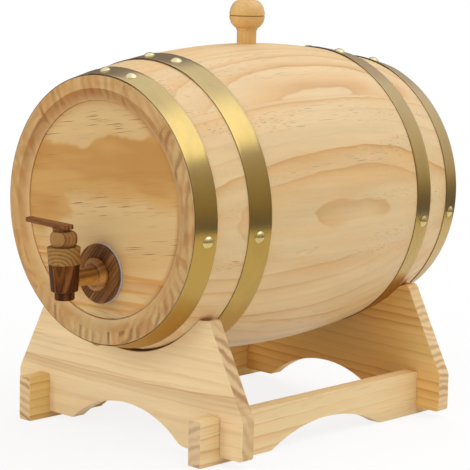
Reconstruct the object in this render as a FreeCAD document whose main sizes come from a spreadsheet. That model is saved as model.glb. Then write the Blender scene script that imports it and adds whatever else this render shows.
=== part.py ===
# Wooden barrel dispenser: a coopered pine barrel lying in a two-saddle cradle,
# with brass hoops, a turned bung on top and a wooden tap in the front head.
# Millimetres, +Z up, the barrel's axis along Y, the tap towards -Y.
import FreeCAD, Part
import math
import os
import Sketcher

doc = FreeCAD.newDocument("wooden_barrel_dispenser")

# Driving dimensions
SIZES = [
    ("barrel_length", 260.5, "stave length, end face to end face"),
    ("end_radius", 86.0, "outside of the staves at the chime"),
    ("bilge_radius", 102.3, "outside of the staves at the middle"),
    ("axis_height", 153.6, "barrel axis above the table"),
    ("stave_count", 12, "staves round the barrel, the first one holds the bung"),
    ("stave_thickness", 14.0, "plank thickness, square to its curve"),
    ("chime_inner_radius", 78.3, "inner edge of the flat end face"),
    ("chime_land_radius", 70.4, "inner edge of the bevel, over the head"),
    ("chime_bevel_depth", 3.2, "how far the bevel runs in"),
    ("head_recess", 4.0, "head face behind the end faces"),
    ("croze_radius", 77.0, "bottom of the groove that holds the head"),
    ("tongue_thickness", 5.0, "width of that groove"),
    ("head_thickness", 10.0, "full thickness of a head"),
    ("head_clearance", 0.1, "head to groove, radial and behind"),
    ("head_bevel_radius", 66.0, "where the head's inner bevel ends"),
    ("hoop_thickness", 0.9, "brass strip"),
    ("hoop_seat", 0.1, "hoop to its flat seat on the staves"),
    ("hoop_lap_angle", 26.0, "how far the strip's end laps over its start"),
    ("front_lap_angle", 6.0, "front hoops' lap, from the top towards +X"),
    ("rear_lap_angle", 3.1, "rear hoops' lap, from the top towards +X"),
    ("chime_hoop_inset", 0.5, "end face to the chime hoop"),
    ("chime_hoop_width", 15.9, "chime hoop strip"),
    ("quarter_hoop_inset", 39.9, "end face to the quarter hoop"),
    ("quarter_hoop_width", 17.6, "quarter hoop strip"),
    ("nail_spread_angle", 6.5, "each lap nail, in degrees from the lap's middle"),
    ("front_nail_angle", 90.0, "front hoops' side nail, in degrees from the lap's middle"),
    ("rear_nail_angle", 95.4, "rear hoops' side nail, in degrees from the lap's middle"),
    ("chime_nail_shift", 2.0, "front chime hoop's side nail, off the strip's middle line"),
    ("nail_head_radius", 3.9, "domed brass nail head"),
    ("nail_head_height", 2.0, "dome above the strip"),
    ("nail_shank_radius", 1.1, "nail shank"),
    ("nail_shank_length", 9.0, "nail shank under the head"),
    ("nail_hole_clearance", 0.05, "shank to its hole"),
    ("bung_set_back", 4.5, "bung axis behind the barrel's middle"),
    ("bung_radius", 6.6, "neck and stopper"),
    ("bung_fit", 0.06, "stopper to its hole"),
    ("bung_stopper_length", 17.0, "stopper below the barrel's crown"),
    ("bung_tip_radius", 5.6, "stopper's lower end"),
    ("bung_tip_length", 2.0, "chamfer of the stopper's lower end"),
    ("bung_neck_height", 9.2, "crown to the knob's underside"),
    ("knob_foot_radius", 7.4, "knob's underside"),
    ("knob_radius", 12.0, "knob at its groove"),
    ("knob_groove_height", 9.6, "knob's underside to its groove"),
    ("knob_groove_width", 0.8, "turned groove round the knob"),
    ("knob_groove_depth", 0.6, "turned groove round the knob"),
    ("knob_shoulder_radius", 10.0, "where the knob's side turns to its top"),
    ("knob_shoulder_height", 17.2, "knob's underside to that turn"),
    ("knob_top_height", 20.2, "knob's underside to the nub"),
    ("nub_radius", 5.0, "turning nub on the knob"),
    ("nub_height", 1.4, "turning nub on the knob"),
    ("tap_drop", 40.7, "tap hole below the barrel's axis"),
    ("tap_droop_angle", 1.8, "how far the tap hangs below square to the head, in degrees"),
    ("tap_reach", 32.0, "head face to the key's axis"),
    ("gasket_radius", 19.7, "sealing washer on the head"),
    ("gasket_thickness", 1.2, "sealing washer on the head"),
    ("rosette_radius", 19.5, "dark disc on the washer"),
    ("rosette_thickness", 2.8, "dark disc on the washer"),
    ("rosette_rounding", 1.2, "front edge of the disc"),
    ("collar_radius", 10.7, "stem's collar"),
    ("collar_thickness", 4.4, "stem's collar"),
    ("collar_gap", 0.06, "nearest point of the drooping collar to the disc"),
    ("collar_rim", 2.0, "straight part of the collar's edge"),
    ("stem_radius", 5.7, "stem between the tap body and the collar"),
    ("stem_bore_radius", 2.6, "liquid way through the stem"),
    ("stem_start", 7.7, "key's axis to the stem's end in the tap body"),
    ("shank_radius", 8.0, "stem through the head"),
    ("shank_inside", 8.0, "shank showing inside the barrel"),
    ("shank_clearance", 0.05, "shank to the head, washer and disc"),
    ("tap_top_radius", 10.7, "tap body's upper end"),
    ("tap_top", 21.6, "tap body's top above the stem axis"),
    ("tap_foot_radius", 8.7, "tap body's lower end"),
    ("tap_foot", 6.8, "tap body's lower end below the stem axis"),
    ("tap_edge", 1.2, "rounding of the tap body's ends"),
    ("nose_radius", 6.4, "spout nose"),
    ("nose_length", 5.5, "spout nose below the tap body"),
    ("nose_edge", 0.6, "chamfer of the spout nose"),
    ("sleeve_top_radius", 7.4, "cork sleeve's outside at its top"),
    ("sleeve_foot_radius", 6.2, "cork sleeve's outside at its foot"),
    ("sleeve_wall", 1.2, "cork sleeve"),
    ("sleeve_foot", 4.3, "sleeve's foot below the stem axis"),
    ("sleeve_clearance", 0.05, "sleeve to the tap body"),
    ("key_fit", 0.04, "key to the sleeve"),
    ("key_foot_gap", 0.5, "key's foot above the sleeve's foot"),
    ("key_port_radius", 2.4, "liquid way through the key"),
    ("key_side_port_radius", 2.2, "way in at the key's side"),
    ("key_port_top", 2.4, "blind end of the key's bore above the stem axis"),
    ("key_seat_gap", 0.4, "key's shoulder above the tap body"),
    ("key_waist_radius", 7.2, "grip's lower edge"),
    ("key_grip_radius", 8.7, "grip's side"),
    ("key_crown_radius", 6.7, "grip's flat top"),
    ("key_grip_height", 9.4, "grip from its shoulder to its flat top"),
    ("key_grip_edge", 2.4, "height of the grip's rounded edges"),
    ("tenon_radius", 2.4, "key's tenon in the lever"),
    ("tenon_fit", 0.05, "tenon to the lever"),
    ("tenon_short", 0.3, "tenon's end below the lever's top"),
    ("lever_thickness", 2.9, "lever"),
    ("lever_reach", 33.7, "key's axis to the lever's tip"),
    ("lever_tail", 5.8, "key's axis to the lever's other end"),
    ("lever_width", 8.6, "lever at its other end"),
    ("lever_tip_width", 6.4, "lever's tip"),
    ("lever_foot_radius", 5.6, "round foot between the lever and the key"),
    ("lever_foot_shift", 2.0, "foot's middle off the key's axis, towards the tip"),
    ("lever_foot_height", 1.6, "round foot between the lever and the key"),
    ("lever_seat", 0.05, "foot above the key's flat top"),
    ("lever_rise_angle", 1.8, "how far the lever's tip rises, in degrees"),
    ("lever_rounding", 2.0, "lever's corners"),
    ("saddle_inset", 26.2, "barrel's end face to the saddle's outer face"),
    ("saddle_thickness", 10.4, "saddle board"),
    ("saddle_half_width", 106.0, "saddle from its middle to its foot's side"),
    ("saddle_side_height", 30.5, "top of the saddle's upright side"),
    ("horn_angle", 45.5, "where the barrel rests, from straight down"),
    ("horn_bite", 0.95, "horns' inner corners into the barrel, before their seats are cut"),
    ("horn_width", 10.3, "top of a horn"),
    ("saddle_lift", 4.7, "saddle's foot above the table"),
    ("horn_rounding", 3.0, "horns' outer corners"),
    ("foot_rounding", 4.0, "feet's outer corners"),
    ("foot_arch_half_width", 51.2, "arch between the saddle's feet"),
    ("arch_easing", 7.0, "rounding where the front saddle's arch meets its right foot"),
    ("foot_arch_rise", 19.5, "arch between the saddle's feet"),
    ("cradle_gap", 2.7, "barrel to the hollow's lowest point, outer face"),
    ("cradle_seat", 0.3, "barrel to the horns' fitted seats"),
    ("stretcher_inner", 75.6, "stretcher's inner side from the middle"),
    ("stretcher_thickness", 10.4, "stretcher board"),
    ("stretcher_height", 30.2, "stretcher board"),
    ("stretcher_reach", 17.4, "stretcher's end past the saddle"),
    ("stretcher_arch_half_length", 55.0, "arch under the stretcher"),
    ("stretcher_arch_rise", 13.9, "arch under the stretcher"),
    ("stretcher_rounding", 1.5, "lower corners of the stretcher's ends"),
]

# Dimensions worked out from the driving ones, each named once and used by every piece it touches
DERIVED = [
    ("half_length", "Sizes.barrel_length / 2"),
    ("swell", "Sizes.bilge_radius - Sizes.end_radius"),
    ("curve_radius", "(half_length ^ 2 + swell ^ 2) / (2 * swell)"),
    ("curve_centre", "Sizes.bilge_radius - curve_radius"),
    ("head_face", "half_length - Sizes.head_recess"),
    ("croze_back", "head_face - Sizes.tongue_thickness"),
    ("inner_curve_radius", "curve_radius - Sizes.stave_thickness"),
    ("inner_end_radius", "curve_centre + sqrt(inner_curve_radius ^ 2 - croze_back ^ 2)"),
    ("stave_pitch", "360 / Sizes.stave_count"),
    ("chime_y", "half_length - Sizes.chime_hoop_inset"),
    ("chime_in_y", "chime_y - Sizes.chime_hoop_width"),
    ("quarter_y", "half_length - Sizes.quarter_hoop_inset"),
    ("quarter_in_y", "quarter_y - Sizes.quarter_hoop_width"),
    ("chime_seat", "curve_centre + sqrt(curve_radius ^ 2 - chime_y ^ 2)"),
    ("chime_in_seat", "curve_centre + sqrt(curve_radius ^ 2 - chime_in_y ^ 2)"),
    ("quarter_seat", "curve_centre + sqrt(curve_radius ^ 2 - quarter_y ^ 2)"),
    ("quarter_in_seat", "curve_centre + sqrt(curve_radius ^ 2 - quarter_in_y ^ 2)"),
    ("chime_r", "chime_seat + Sizes.hoop_seat"),
    ("chime_in_r", "chime_in_seat + Sizes.hoop_seat"),
    ("quarter_r", "quarter_seat + Sizes.hoop_seat"),
    ("quarter_in_r", "quarter_in_seat + Sizes.hoop_seat"),
    ("nail_dome_radius",
     "(Sizes.nail_head_radius ^ 2 + Sizes.nail_head_height ^ 2) / (2 * Sizes.nail_head_height)"),
    ("knob_base", "Sizes.bung_neck_height"),
    ("groove_low", "knob_base + Sizes.knob_groove_height - Sizes.knob_groove_width / 2"),
    ("groove_high", "groove_low + Sizes.knob_groove_width"),
    ("shoulder_z", "knob_base + Sizes.knob_shoulder_height"),
    ("nub_z", "knob_base + Sizes.knob_top_height"),
    ("rosette_front", "Sizes.gasket_thickness + Sizes.rosette_thickness"),
    ("collar_back",
     "Sizes.tap_reach - rosette_front - Sizes.collar_gap"
     " - Sizes.collar_radius * tan(Sizes.tap_droop_angle)"),
    ("collar_front", "collar_back - Sizes.collar_thickness"),
    ("shank_end", "Sizes.tap_reach + Sizes.head_thickness + Sizes.shank_inside"),
    ("shank_hole_radius", "Sizes.shank_radius + Sizes.shank_clearance"),
    ("sleeve_slope",
     "(Sizes.sleeve_top_radius - Sizes.sleeve_foot_radius) / (Sizes.tap_top + Sizes.sleeve_foot)"),
    ("key_foot_z", "Sizes.key_foot_gap - Sizes.sleeve_foot"),
    ("key_foot_radius",
     "Sizes.sleeve_foot_radius + sleeve_slope * Sizes.key_foot_gap - Sizes.sleeve_wall - Sizes.key_fit"),
    ("key_top_radius", "Sizes.sleeve_top_radius - Sizes.sleeve_wall - Sizes.key_fit"),
    ("key_shoulder", "Sizes.tap_top + Sizes.key_seat_gap"),
    ("key_crown", "key_shoulder + Sizes.key_grip_height"),
    ("lever_z", "key_crown + Sizes.lever_seat + Sizes.lever_foot_height"),
    ("tenon_top", "lever_z + Sizes.lever_thickness - Sizes.tenon_short"),
    ("saddle_face", "half_length - Sizes.saddle_inset"),
    ("saddle_middle", "saddle_face - Sizes.saddle_thickness / 2"),
    ("face_radius", "curve_centre + sqrt(curve_radius ^ 2 - saddle_face ^ 2)"),
    ("horn_radius", "face_radius - Sizes.horn_bite"),
    ("cradle_mouth", "horn_radius * sin(Sizes.horn_angle)"),
    ("saddle_height", "Sizes.axis_height - horn_radius * cos(Sizes.horn_angle)"),
    ("saddle_top", "cradle_mouth + Sizes.horn_width"),
    ("cradle_bottom", "Sizes.axis_height - face_radius - Sizes.cradle_gap"),
    ("cradle_depth", "saddle_height - cradle_bottom"),
    ("cradle_radius", "(cradle_mouth ^ 2 + cradle_depth ^ 2) / (2 * cradle_depth)"),
    ("foot_arch_radius",
     "(Sizes.foot_arch_half_width ^ 2 + Sizes.foot_arch_rise ^ 2) / (2 * Sizes.foot_arch_rise)"),
    ("seat_curve_radius", "curve_radius + Sizes.cradle_seat"),
    ("seat_out_radius",
     "curve_centre + sqrt(seat_curve_radius ^ 2 - (saddle_middle + Sizes.saddle_thickness) ^ 2)"),
    ("seat_in_radius",
     "curve_centre + sqrt(seat_curve_radius ^ 2 - (saddle_middle - Sizes.saddle_thickness) ^ 2)"),
    ("stretcher_outer", "Sizes.stretcher_inner + Sizes.stretcher_thickness"),
    ("stretcher_end", "saddle_face + Sizes.stretcher_reach"),
    ("stretcher_arch_radius",
     "(Sizes.stretcher_arch_half_length ^ 2 + Sizes.stretcher_arch_rise ^ 2)"
     " / (2 * Sizes.stretcher_arch_rise)"),
    ("front_reach",
     "head_face + (Sizes.tap_reach + Sizes.tap_top_radius) * cos(Sizes.tap_droop_angle)"
     " + (Sizes.tap_top - Sizes.tap_edge) * sin(Sizes.tap_droop_angle)"),
    ("origin_shift", "(front_reach - half_length) / 2"),
]


def fill_sheets():
    """Write both sheets: plain numbers in Sizes, formulas in Derived."""
    sizes = doc.addObject("Spreadsheet::Sheet", "Sizes")
    for row, (alias, number, note) in enumerate(SIZES, start=1):
        sizes.set("A%d" % row, alias)
        sizes.set("B%d" % row, str(number))
        sizes.set("C%d" % row, note)
        sizes.setAlias("B%d" % row, alias)
    derived = doc.addObject("Spreadsheet::Sheet", "Derived")
    for row, (alias, formula) in enumerate(DERIVED, start=1):
        derived.set("A%d" % row, alias)
        derived.set("B%d" % row, "=" + formula)
        derived.setAlias("B%d" % row, alias)
    doc.recompute()
    return sizes, derived


sizes, derived = fill_sheets()


def number(expression):
    """Present value of an expression on the sheets."""
    return float(sizes.evalExpression(expression))


# Frames: where each group of pieces has its own zero
BARREL = "placement(vector(0; Derived.origin_shift; Sizes.axis_height); rotation(vector(0; 1; 0); 0))"
TAP_HOLE = "placement(vector(0; -Derived.head_face; -Sizes.tap_drop); rotation(vector(1; 0; 0); 0))"
DROOP = "placement(vector(0; 0; 0); rotation(vector(1; 0; 0); Sizes.tap_droop_angle))"
TO_KEY = "placement(vector(0; -Sizes.tap_reach; 0); rotation(vector(0; 1; 0); 0))"
TAP = " * ".join([BARREL, TAP_HOLE, DROOP, TO_KEY])
STAND = "placement(vector(0; Derived.origin_shift; 0); rotation(vector(0; 1; 0); 0))"


def move(x="0", y="0", z="0"):
    """A placement expression that only shifts."""
    return "placement(vector(%s; %s; %s); rotation(vector(0; 1; 0); 0))" % (x, y, z)


def turn(axis, degrees):
    """A placement expression that only turns about an axis through zero."""
    vectors = {"x": "1; 0; 0", "y": "0; 1; 0", "z": "0; 0; 1"}
    return "placement(vector(0; 0; 0); rotation(vector(%s); %s))" % (vectors[axis], degrees)


def new_body(name, *frame):
    """An empty body whose place is the product of the given placement expressions."""
    body = doc.addObject("PartDesign::Body", name)
    body.Label = name
    body.setExpression("Placement", " * ".join(frame))
    return body


def plane_of(body, role):
    """One of the body's own origin planes."""
    return [item for item in body.Origin.OriginFeatures if item.Role == role][0]


def new_sketch(body, role, name):
    """A sketch on one of the body's origin planes."""
    sketch = body.newObject("Sketcher::SketchObject", name)
    sketch.AttachmentSupport = [(plane_of(body, role), "")]
    sketch.MapMode = "FlatFace"
    return sketch


def pin_point(sketch, edge, end, place):
    """Hold one end of an edge at a pair of expressions."""
    for kind, axis, text in (("DistanceX", -2, place[0]), ("DistanceY", -1, place[1])):
        if text == "0":
            sketch.addConstraint(Sketcher.Constraint("PointOnObject", edge, end, axis))
        else:
            constraint = Sketcher.Constraint(kind, -1, 1, edge, end, number(text))
            index = sketch.addConstraint(constraint)
            sketch.setExpression("Constraints[%d]" % index, text)


def arc_through(first, last, radius, side):
    """Shorter arc between two points; side is +1 where it bulges to the right of the way."""
    chord = last - first
    middle = (first + last) * 0.5
    right = FreeCAD.Vector(chord.y, -chord.x, 0).normalize()
    rise = radius - math.sqrt(max(radius ** 2 - (chord.Length / 2) ** 2, 0))
    return Part.Arc(first, middle + right * (side * rise), last)


def outline(sketch, points, arcs=None):
    """Closed outline through the points; arcs maps an edge to its radius and side."""
    arcs = arcs or {}
    corners = [FreeCAD.Vector(number(x), number(y), 0) for x, y in points]
    count = len(points)
    ends = []
    for edge in range(count):
        first = corners[edge]
        last = corners[(edge + 1) % count]
        if edge in arcs:
            radius, side = arcs[edge]
            sketch.addGeometry(arc_through(first, last, number(radius), side), False)
        else:
            sketch.addGeometry(Part.LineSegment(first, last), False)
        starts_here = sketch.getPoint(edge, 1).distanceToPoint(first) < 1e-6
        ends.append((1, 2) if starts_here else (2, 1))
    for edge in range(count):
        following = (edge + 1) % count
        joint = Sketcher.Constraint("Coincident", edge, ends[edge][1], following, ends[following][0])
        sketch.addConstraint(joint)
    for edge in range(count):
        pin_point(sketch, edge, ends[edge][0], points[edge])
    for edge, (radius, side) in arcs.items():
        index = sketch.addConstraint(Sketcher.Constraint("Radius", edge, number(radius)))
        sketch.setExpression("Constraints[%d]" % index, radius)
    return sketch


def revolve(body, sketch, axis, name, angle="360", kind="PartDesign::Revolution"):
    """Turn a sketch about one of its axes, to both sides alike."""
    feature = body.newObject(kind, name)
    feature.Profile = sketch
    feature.ReferenceAxis = (sketch, [axis])
    feature.Midplane = True
    feature.setExpression("Angle", angle)
    return feature


def extrude(body, sketch, name, length):
    """Pad a sketch by a length, to both sides alike."""
    feature = body.newObject("PartDesign::Pad", name)
    feature.Profile = sketch
    feature.Midplane = True
    feature.setExpression("Length", length)
    return feature


def drill(body, name, radius, length, *frame):
    """Cut a round hole that starts at a place and runs along that place's +Z."""
    hole = body.newObject("PartDesign::SubtractiveCylinder", name)
    hole.setExpression("Radius", radius)
    hole.setExpression("Height", length)
    hole.setExpression("Placement", " * ".join(frame))
    return hole


def turned(name, frame, role, axis, points, arcs=None):
    """A lathe-turned body: an outline spun about one of its plane's axes."""
    body = new_body(name, *frame)
    sketch = outline(new_sketch(body, role, name + "_profile"), points, arcs)
    revolve(body, sketch, axis, name + "_turning")
    return body


def round_edges(body, base, name, x, z, sides, radius):
    """Round the edges across a board that pass through (x, z) on the given sides of its middle."""
    doc.recompute()
    places = [(side * number(x), number(z)) for side in sides]
    names = []
    for index, edge in enumerate(base.Shape.Edges, start=1):
        middle = edge.CenterOfMass
        if any(math.hypot(middle.x - at_x, middle.z - at_z) < 0.01 for at_x, at_z in places):
            names.append("Edge%d" % index)
    rounding = body.newObject("PartDesign::Fillet", name)
    rounding.Base = (base, names)
    rounding.setExpression("Radius", radius)
    return rounding


# Hoops: name, side of the barrel, (distance, radius) at the strip's outer and inner edge,
# the lap's turn, and the side nail's turn from the lap and shift along the barrel
CHIME = [("chime_y", "chime_r"), ("chime_in_y", "chime_in_r")]
QUARTER = [("quarter_y", "quarter_r"), ("quarter_in_y", "quarter_in_r")]
FRONT_NAIL = "Sizes.front_nail_angle"
REAR_NAIL = "Sizes.rear_nail_angle"
HOOPS = [
    ("front_chime_hoop", -1, CHIME, "Sizes.front_lap_angle", FRONT_NAIL, "Sizes.chime_nail_shift"),
    ("front_quarter_hoop", -1, QUARTER, "Sizes.front_lap_angle", FRONT_NAIL, "0"),
    ("rear_quarter_hoop", 1, QUARTER, "Sizes.rear_lap_angle", REAR_NAIL, "0"),
    ("rear_chime_hoop", 1, CHIME, "Sizes.rear_lap_angle", REAR_NAIL, "0"),
]


def nails_of(hoop):
    """A hoop's nails: turn from the lap's middle, shift off the strip's middle line, layers."""
    side_nail, shift = hoop[4], hoop[5]
    return [
        ("-Sizes.nail_spread_angle", "0", 2),
        ("Sizes.nail_spread_angle", "0", 2),
        (side_nail, shift, 1),
        ("180", "0", 1),
        ("270", "0", 1),
    ]


def nail_frame(hoop, nail, turned_by="0"):
    """Where a nail's head meets the strip, with +Z out of the strip."""
    side, ((y_out, r_out), (y_in, r_in)) = hoop[1], hoop[2]
    angle, shift, layers = nail
    middle_y = "%d * (Derived.%s + Derived.%s) / 2" % (side, y_out, y_in)
    middle_r = "(Derived.%s + Derived.%s) / 2 + %d * Sizes.hoop_thickness" % (r_out, r_in, layers)
    slope = "%d * atan((Derived.%s - Derived.%s) / (Derived.%s - Derived.%s))" % (
        -side, r_in, r_out, y_out, y_in)
    return [turn("y", "%s - (%s)" % (angle, turned_by)), move(y=middle_y, z=middle_r),
            turn("x", slope), move(y=shift)]


def drill_for_nail(body, name, hoop, nail, turned_by="0"):
    """Pilot hole for one nail."""
    start = move(z="-Sizes.nail_shank_length - Sizes.nail_hole_clearance")
    radius = "Sizes.nail_shank_radius + Sizes.nail_hole_clearance"
    length = "Sizes.nail_shank_length + Sizes.nail_head_height"
    drill(body, name, radius, length, *nail_frame(hoop, nail, turned_by), start)


def make_stave(index):
    """One bent plank with its end bevels, head grooves and flat hoop seats."""
    name = "bung_stave" if index == 0 else "stave_%02d" % (index + 1)
    stave_turn = "%d * Derived.stave_pitch" % index
    body = new_body(name, BARREL, turn("y", stave_turn))
    end = [
        ("Derived.half_length", "Sizes.end_radius"),
        ("Derived.half_length", "Sizes.chime_inner_radius"),
        ("(Derived.half_length - Sizes.chime_bevel_depth)", "Sizes.chime_land_radius"),
        ("Derived.head_face", "Sizes.chime_land_radius"),
        ("Derived.head_face", "Sizes.croze_radius"),
        ("Derived.croze_back", "Sizes.croze_radius"),
        ("Derived.croze_back", "Derived.inner_end_radius"),
    ]
    seats = [
        ("Derived.quarter_in_y", "Derived.quarter_in_seat"),
        ("Derived.quarter_y", "Derived.quarter_seat"),
        ("Derived.chime_in_y", "Derived.chime_in_seat"),
    ]
    other_end = [("-" + y, r) for y, r in reversed(end)]
    other_seats = [("-" + y, r) for y, r in reversed(seats)]
    points = end + other_end + other_seats + seats
    between_hoops = len(end + other_end)
    outer_arc = ("Derived.curve_radius", -1)
    arcs = {
        len(end) - 1: ("Derived.inner_curve_radius", 1),
        between_hoops: outer_arc,
        between_hoops + 2: outer_arc,
        between_hoops + 4: outer_arc,
    }
    sketch = outline(new_sketch(body, "YZ_Plane", name + "_section"), points, arcs)
    revolve(body, sketch, "H_Axis", name + "_plank", "Derived.stave_pitch")
    if index == 0:
        drill(body, "bung_hole", "Sizes.bung_radius + Sizes.bung_fit", "Sizes.bilge_radius",
              move(y="Sizes.bung_set_back"))
    pitch = number("Derived.stave_pitch")
    for hoop in HOOPS:
        for count, nail in enumerate(nails_of(hoop)):
            nail_turn = number("%s + %s" % (hoop[3], nail[0]))
            offset = (nail_turn - index * pitch + 180) % 360 - 180
            if abs(offset) < pitch / 2:
                hole = "%s_hole_%s_%d" % (name, hoop[0], count + 1)
                drill_for_nail(body, hole, hoop, nail, "%s - %s" % (stave_turn, hoop[3]))
    return body


def make_head(name, side):
    """A head: a disc whose rim is thinned to a tongue for the staves' groove."""
    rim = "(Sizes.croze_radius - Sizes.head_clearance)"
    step = "(Derived.inner_end_radius - 2 * Sizes.head_clearance)"
    tongue = "(Derived.croze_back + Sizes.head_clearance)"
    back = "(Derived.head_face - Sizes.head_thickness)"
    sign = "" if side > 0 else "-"
    points = [
        (sign + "Derived.head_face", "0"),
        (sign + "Derived.head_face", rim),
        (sign + tongue, rim),
        (sign + tongue, step),
        (sign + back, "Sizes.head_bevel_radius"),
        (sign + back, "0"),
    ]
    return turned(name, [BARREL], "YZ_Plane", "H_Axis", points)


def make_hoop(hoop):
    """A brass strip bent round the staves, its end lapped over its start and nailed."""
    name, side, ((y_out, r_out), (y_in, r_in)), lap_turn = hoop[:4]
    body = new_body(name, BARREL, turn("y", lap_turn))
    sign = "" if side > 0 else "-"
    for layer, angle in (("strip", "360"), ("lap", "Sizes.hoop_lap_angle")):
        low = "" if layer == "strip" else " + Sizes.hoop_thickness"
        high = " + Sizes.hoop_thickness" if layer == "strip" else " + 2 * Sizes.hoop_thickness"
        points = [
            ("%sDerived.%s" % (sign, y_out), "Derived.%s%s" % (r_out, low)),
            ("%sDerived.%s" % (sign, y_in), "Derived.%s%s" % (r_in, low)),
            ("%sDerived.%s" % (sign, y_in), "Derived.%s%s" % (r_in, high)),
            ("%sDerived.%s" % (sign, y_out), "Derived.%s%s" % (r_out, high)),
        ]
        sketch = outline(new_sketch(body, "YZ_Plane", "%s_%s_section" % (name, layer)), points)
        revolve(body, sketch, "H_Axis", "%s_%s" % (name, layer), angle)
    for count, nail in enumerate(nails_of(hoop)):
        drill_for_nail(body, "%s_hole_%d" % (name, count + 1), hoop, nail)
    return body


def make_nails(hoop):
    """The hoop's dome-headed nails, as separate solids in one group."""
    name = hoop[0].replace("_hoop", "_nails")
    points = [
        ("0", "-Sizes.nail_shank_length"),
        ("Sizes.nail_shank_radius", "-Sizes.nail_shank_length + 2 * Sizes.nail_shank_radius"),
        ("Sizes.nail_shank_radius", "0"),
        ("Sizes.nail_head_radius", "0"),
        ("0", "Sizes.nail_head_height"),
    ]
    nails = []
    for count, nail in enumerate(nails_of(hoop)):
        frame = [BARREL, turn("y", hoop[3])] + nail_frame(hoop, nail)
        nails.append(turned("%s_%d" % (name, count + 1), frame, "XZ_Plane", "V_Axis", points,
                            {3: ("Derived.nail_dome_radius", 1)}))
    group = doc.addObject("Part::Compound", name)
    group.Label = name
    group.Links = nails
    return group


def make_bung():
    """Turned bung: a stopper in the hole, a neck, and a knob with a groove and a nub."""
    frame = [BARREL, move(y="Sizes.bung_set_back", z="Sizes.bilge_radius")]
    points = [
        ("0", "-Sizes.bung_stopper_length"),
        ("Sizes.bung_tip_radius", "-Sizes.bung_stopper_length"),
        ("Sizes.bung_radius", "-Sizes.bung_stopper_length + Sizes.bung_tip_length"),
        ("Sizes.bung_radius", "Derived.knob_base"),
        ("Sizes.knob_foot_radius", "Derived.knob_base"),
        ("Sizes.knob_radius", "Derived.groove_low"),
        ("Sizes.knob_radius - Sizes.knob_groove_depth",
         "Derived.groove_low + Sizes.knob_groove_width / 2"),
        ("Sizes.knob_radius", "Derived.groove_high"),
        ("Sizes.knob_shoulder_radius", "Derived.shoulder_z"),
        ("Sizes.nub_radius", "Derived.nub_z"),
        ("Sizes.nub_radius", "Derived.nub_z + Sizes.nub_height"),
        ("0", "Derived.nub_z + Sizes.nub_height"),
    ]
    arcs = {
        4: ("0.86 * Sizes.knob_radius", 1),
        7: ("1.2 * Sizes.knob_radius", 1),
        8: ("0.6 * Sizes.knob_radius", 1),
    }
    return turned("bung", frame, "XZ_Plane", "V_Axis", points, arcs)


def make_disc(name, back, front, radius, rounding=None):
    """A disc flat on the head round the stem, its front edge rounded where that is asked for."""
    points = [
        ("-(%s)" % back, "0"),
        ("-(%s)" % back, radius),
        ("-(%s)" % front, radius),
        ("-(%s)" % front, "0"),
    ]
    arcs = None
    if rounding:
        points[2:3] = [
            ("-(%s) + %s" % (front, rounding), radius),
            ("-(%s)" % front, "%s - %s" % (radius, rounding)),
        ]
        arcs = {2: (rounding, -1)}
    body = turned(name, [BARREL, TAP_HOLE], "YZ_Plane", "H_Axis", points, arcs)
    drill(body, name + "_hole", "Derived.shank_hole_radius", "2 * Sizes.tap_reach",
          DROOP, TO_KEY, turn("x", "-90"))
    return body


def make_stem():
    """Turned stem: end in the tap body, collar on the disc, shank through the head, bored through."""
    points = [
        ("Sizes.stem_start", "Sizes.stem_bore_radius"),
        ("Derived.shank_end", "Sizes.stem_bore_radius"),
        ("Derived.shank_end", "Sizes.shank_radius"),
        ("Derived.collar_back", "Sizes.shank_radius"),
        ("Derived.collar_back", "Sizes.collar_radius"),
        ("Derived.collar_back - Sizes.collar_rim", "Sizes.collar_radius"),
        ("Derived.collar_front", "Sizes.stem_radius + Sizes.collar_rim"),
        ("Derived.collar_front", "Sizes.stem_radius"),
        ("Sizes.stem_start", "Sizes.stem_radius"),
    ]
    return turned("tap_stem", [TAP], "YZ_Plane", "H_Axis", points,
                  {5: ("Sizes.collar_thickness", -1)})


def make_tap_body():
    """Tapering turned body with a conical key seat, a side socket for the stem and a spout nose."""
    sleeve_foot = "Sizes.sleeve_foot_radius + Sizes.sleeve_clearance"
    points = [
        ("Sizes.key_port_radius", "-Sizes.sleeve_foot"),
        ("Sizes.key_port_radius", "-Sizes.tap_foot - Sizes.nose_length"),
        ("Sizes.nose_radius - Sizes.nose_edge", "-Sizes.tap_foot - Sizes.nose_length"),
        ("Sizes.nose_radius", "-Sizes.tap_foot - Sizes.nose_length + Sizes.nose_edge"),
        ("Sizes.nose_radius", "-Sizes.tap_foot"),
        ("Sizes.tap_foot_radius - Sizes.tap_edge", "-Sizes.tap_foot"),
        ("Sizes.tap_foot_radius", "-Sizes.tap_foot + Sizes.tap_edge"),
        ("Sizes.tap_top_radius", "Sizes.tap_top - Sizes.tap_edge"),
        ("Sizes.tap_top_radius - Sizes.tap_edge", "Sizes.tap_top"),
        ("Sizes.sleeve_top_radius + Sizes.sleeve_clearance", "Sizes.tap_top"),
        (sleeve_foot, "-Sizes.sleeve_foot"),
    ]
    arcs = {
        5: ("1.05 * Sizes.tap_edge", 1),
        7: ("1.05 * Sizes.tap_edge", 1),
    }
    body = turned("tap_body", [TAP], "XZ_Plane", "V_Axis", points, arcs)
    drill(body, "stem_socket", "Sizes.stem_radius + Sizes.shank_clearance", "Sizes.tap_top_radius",
          move(y="Sizes.sleeve_foot_radius / 2"), turn("x", "-90"))
    return body


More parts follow.
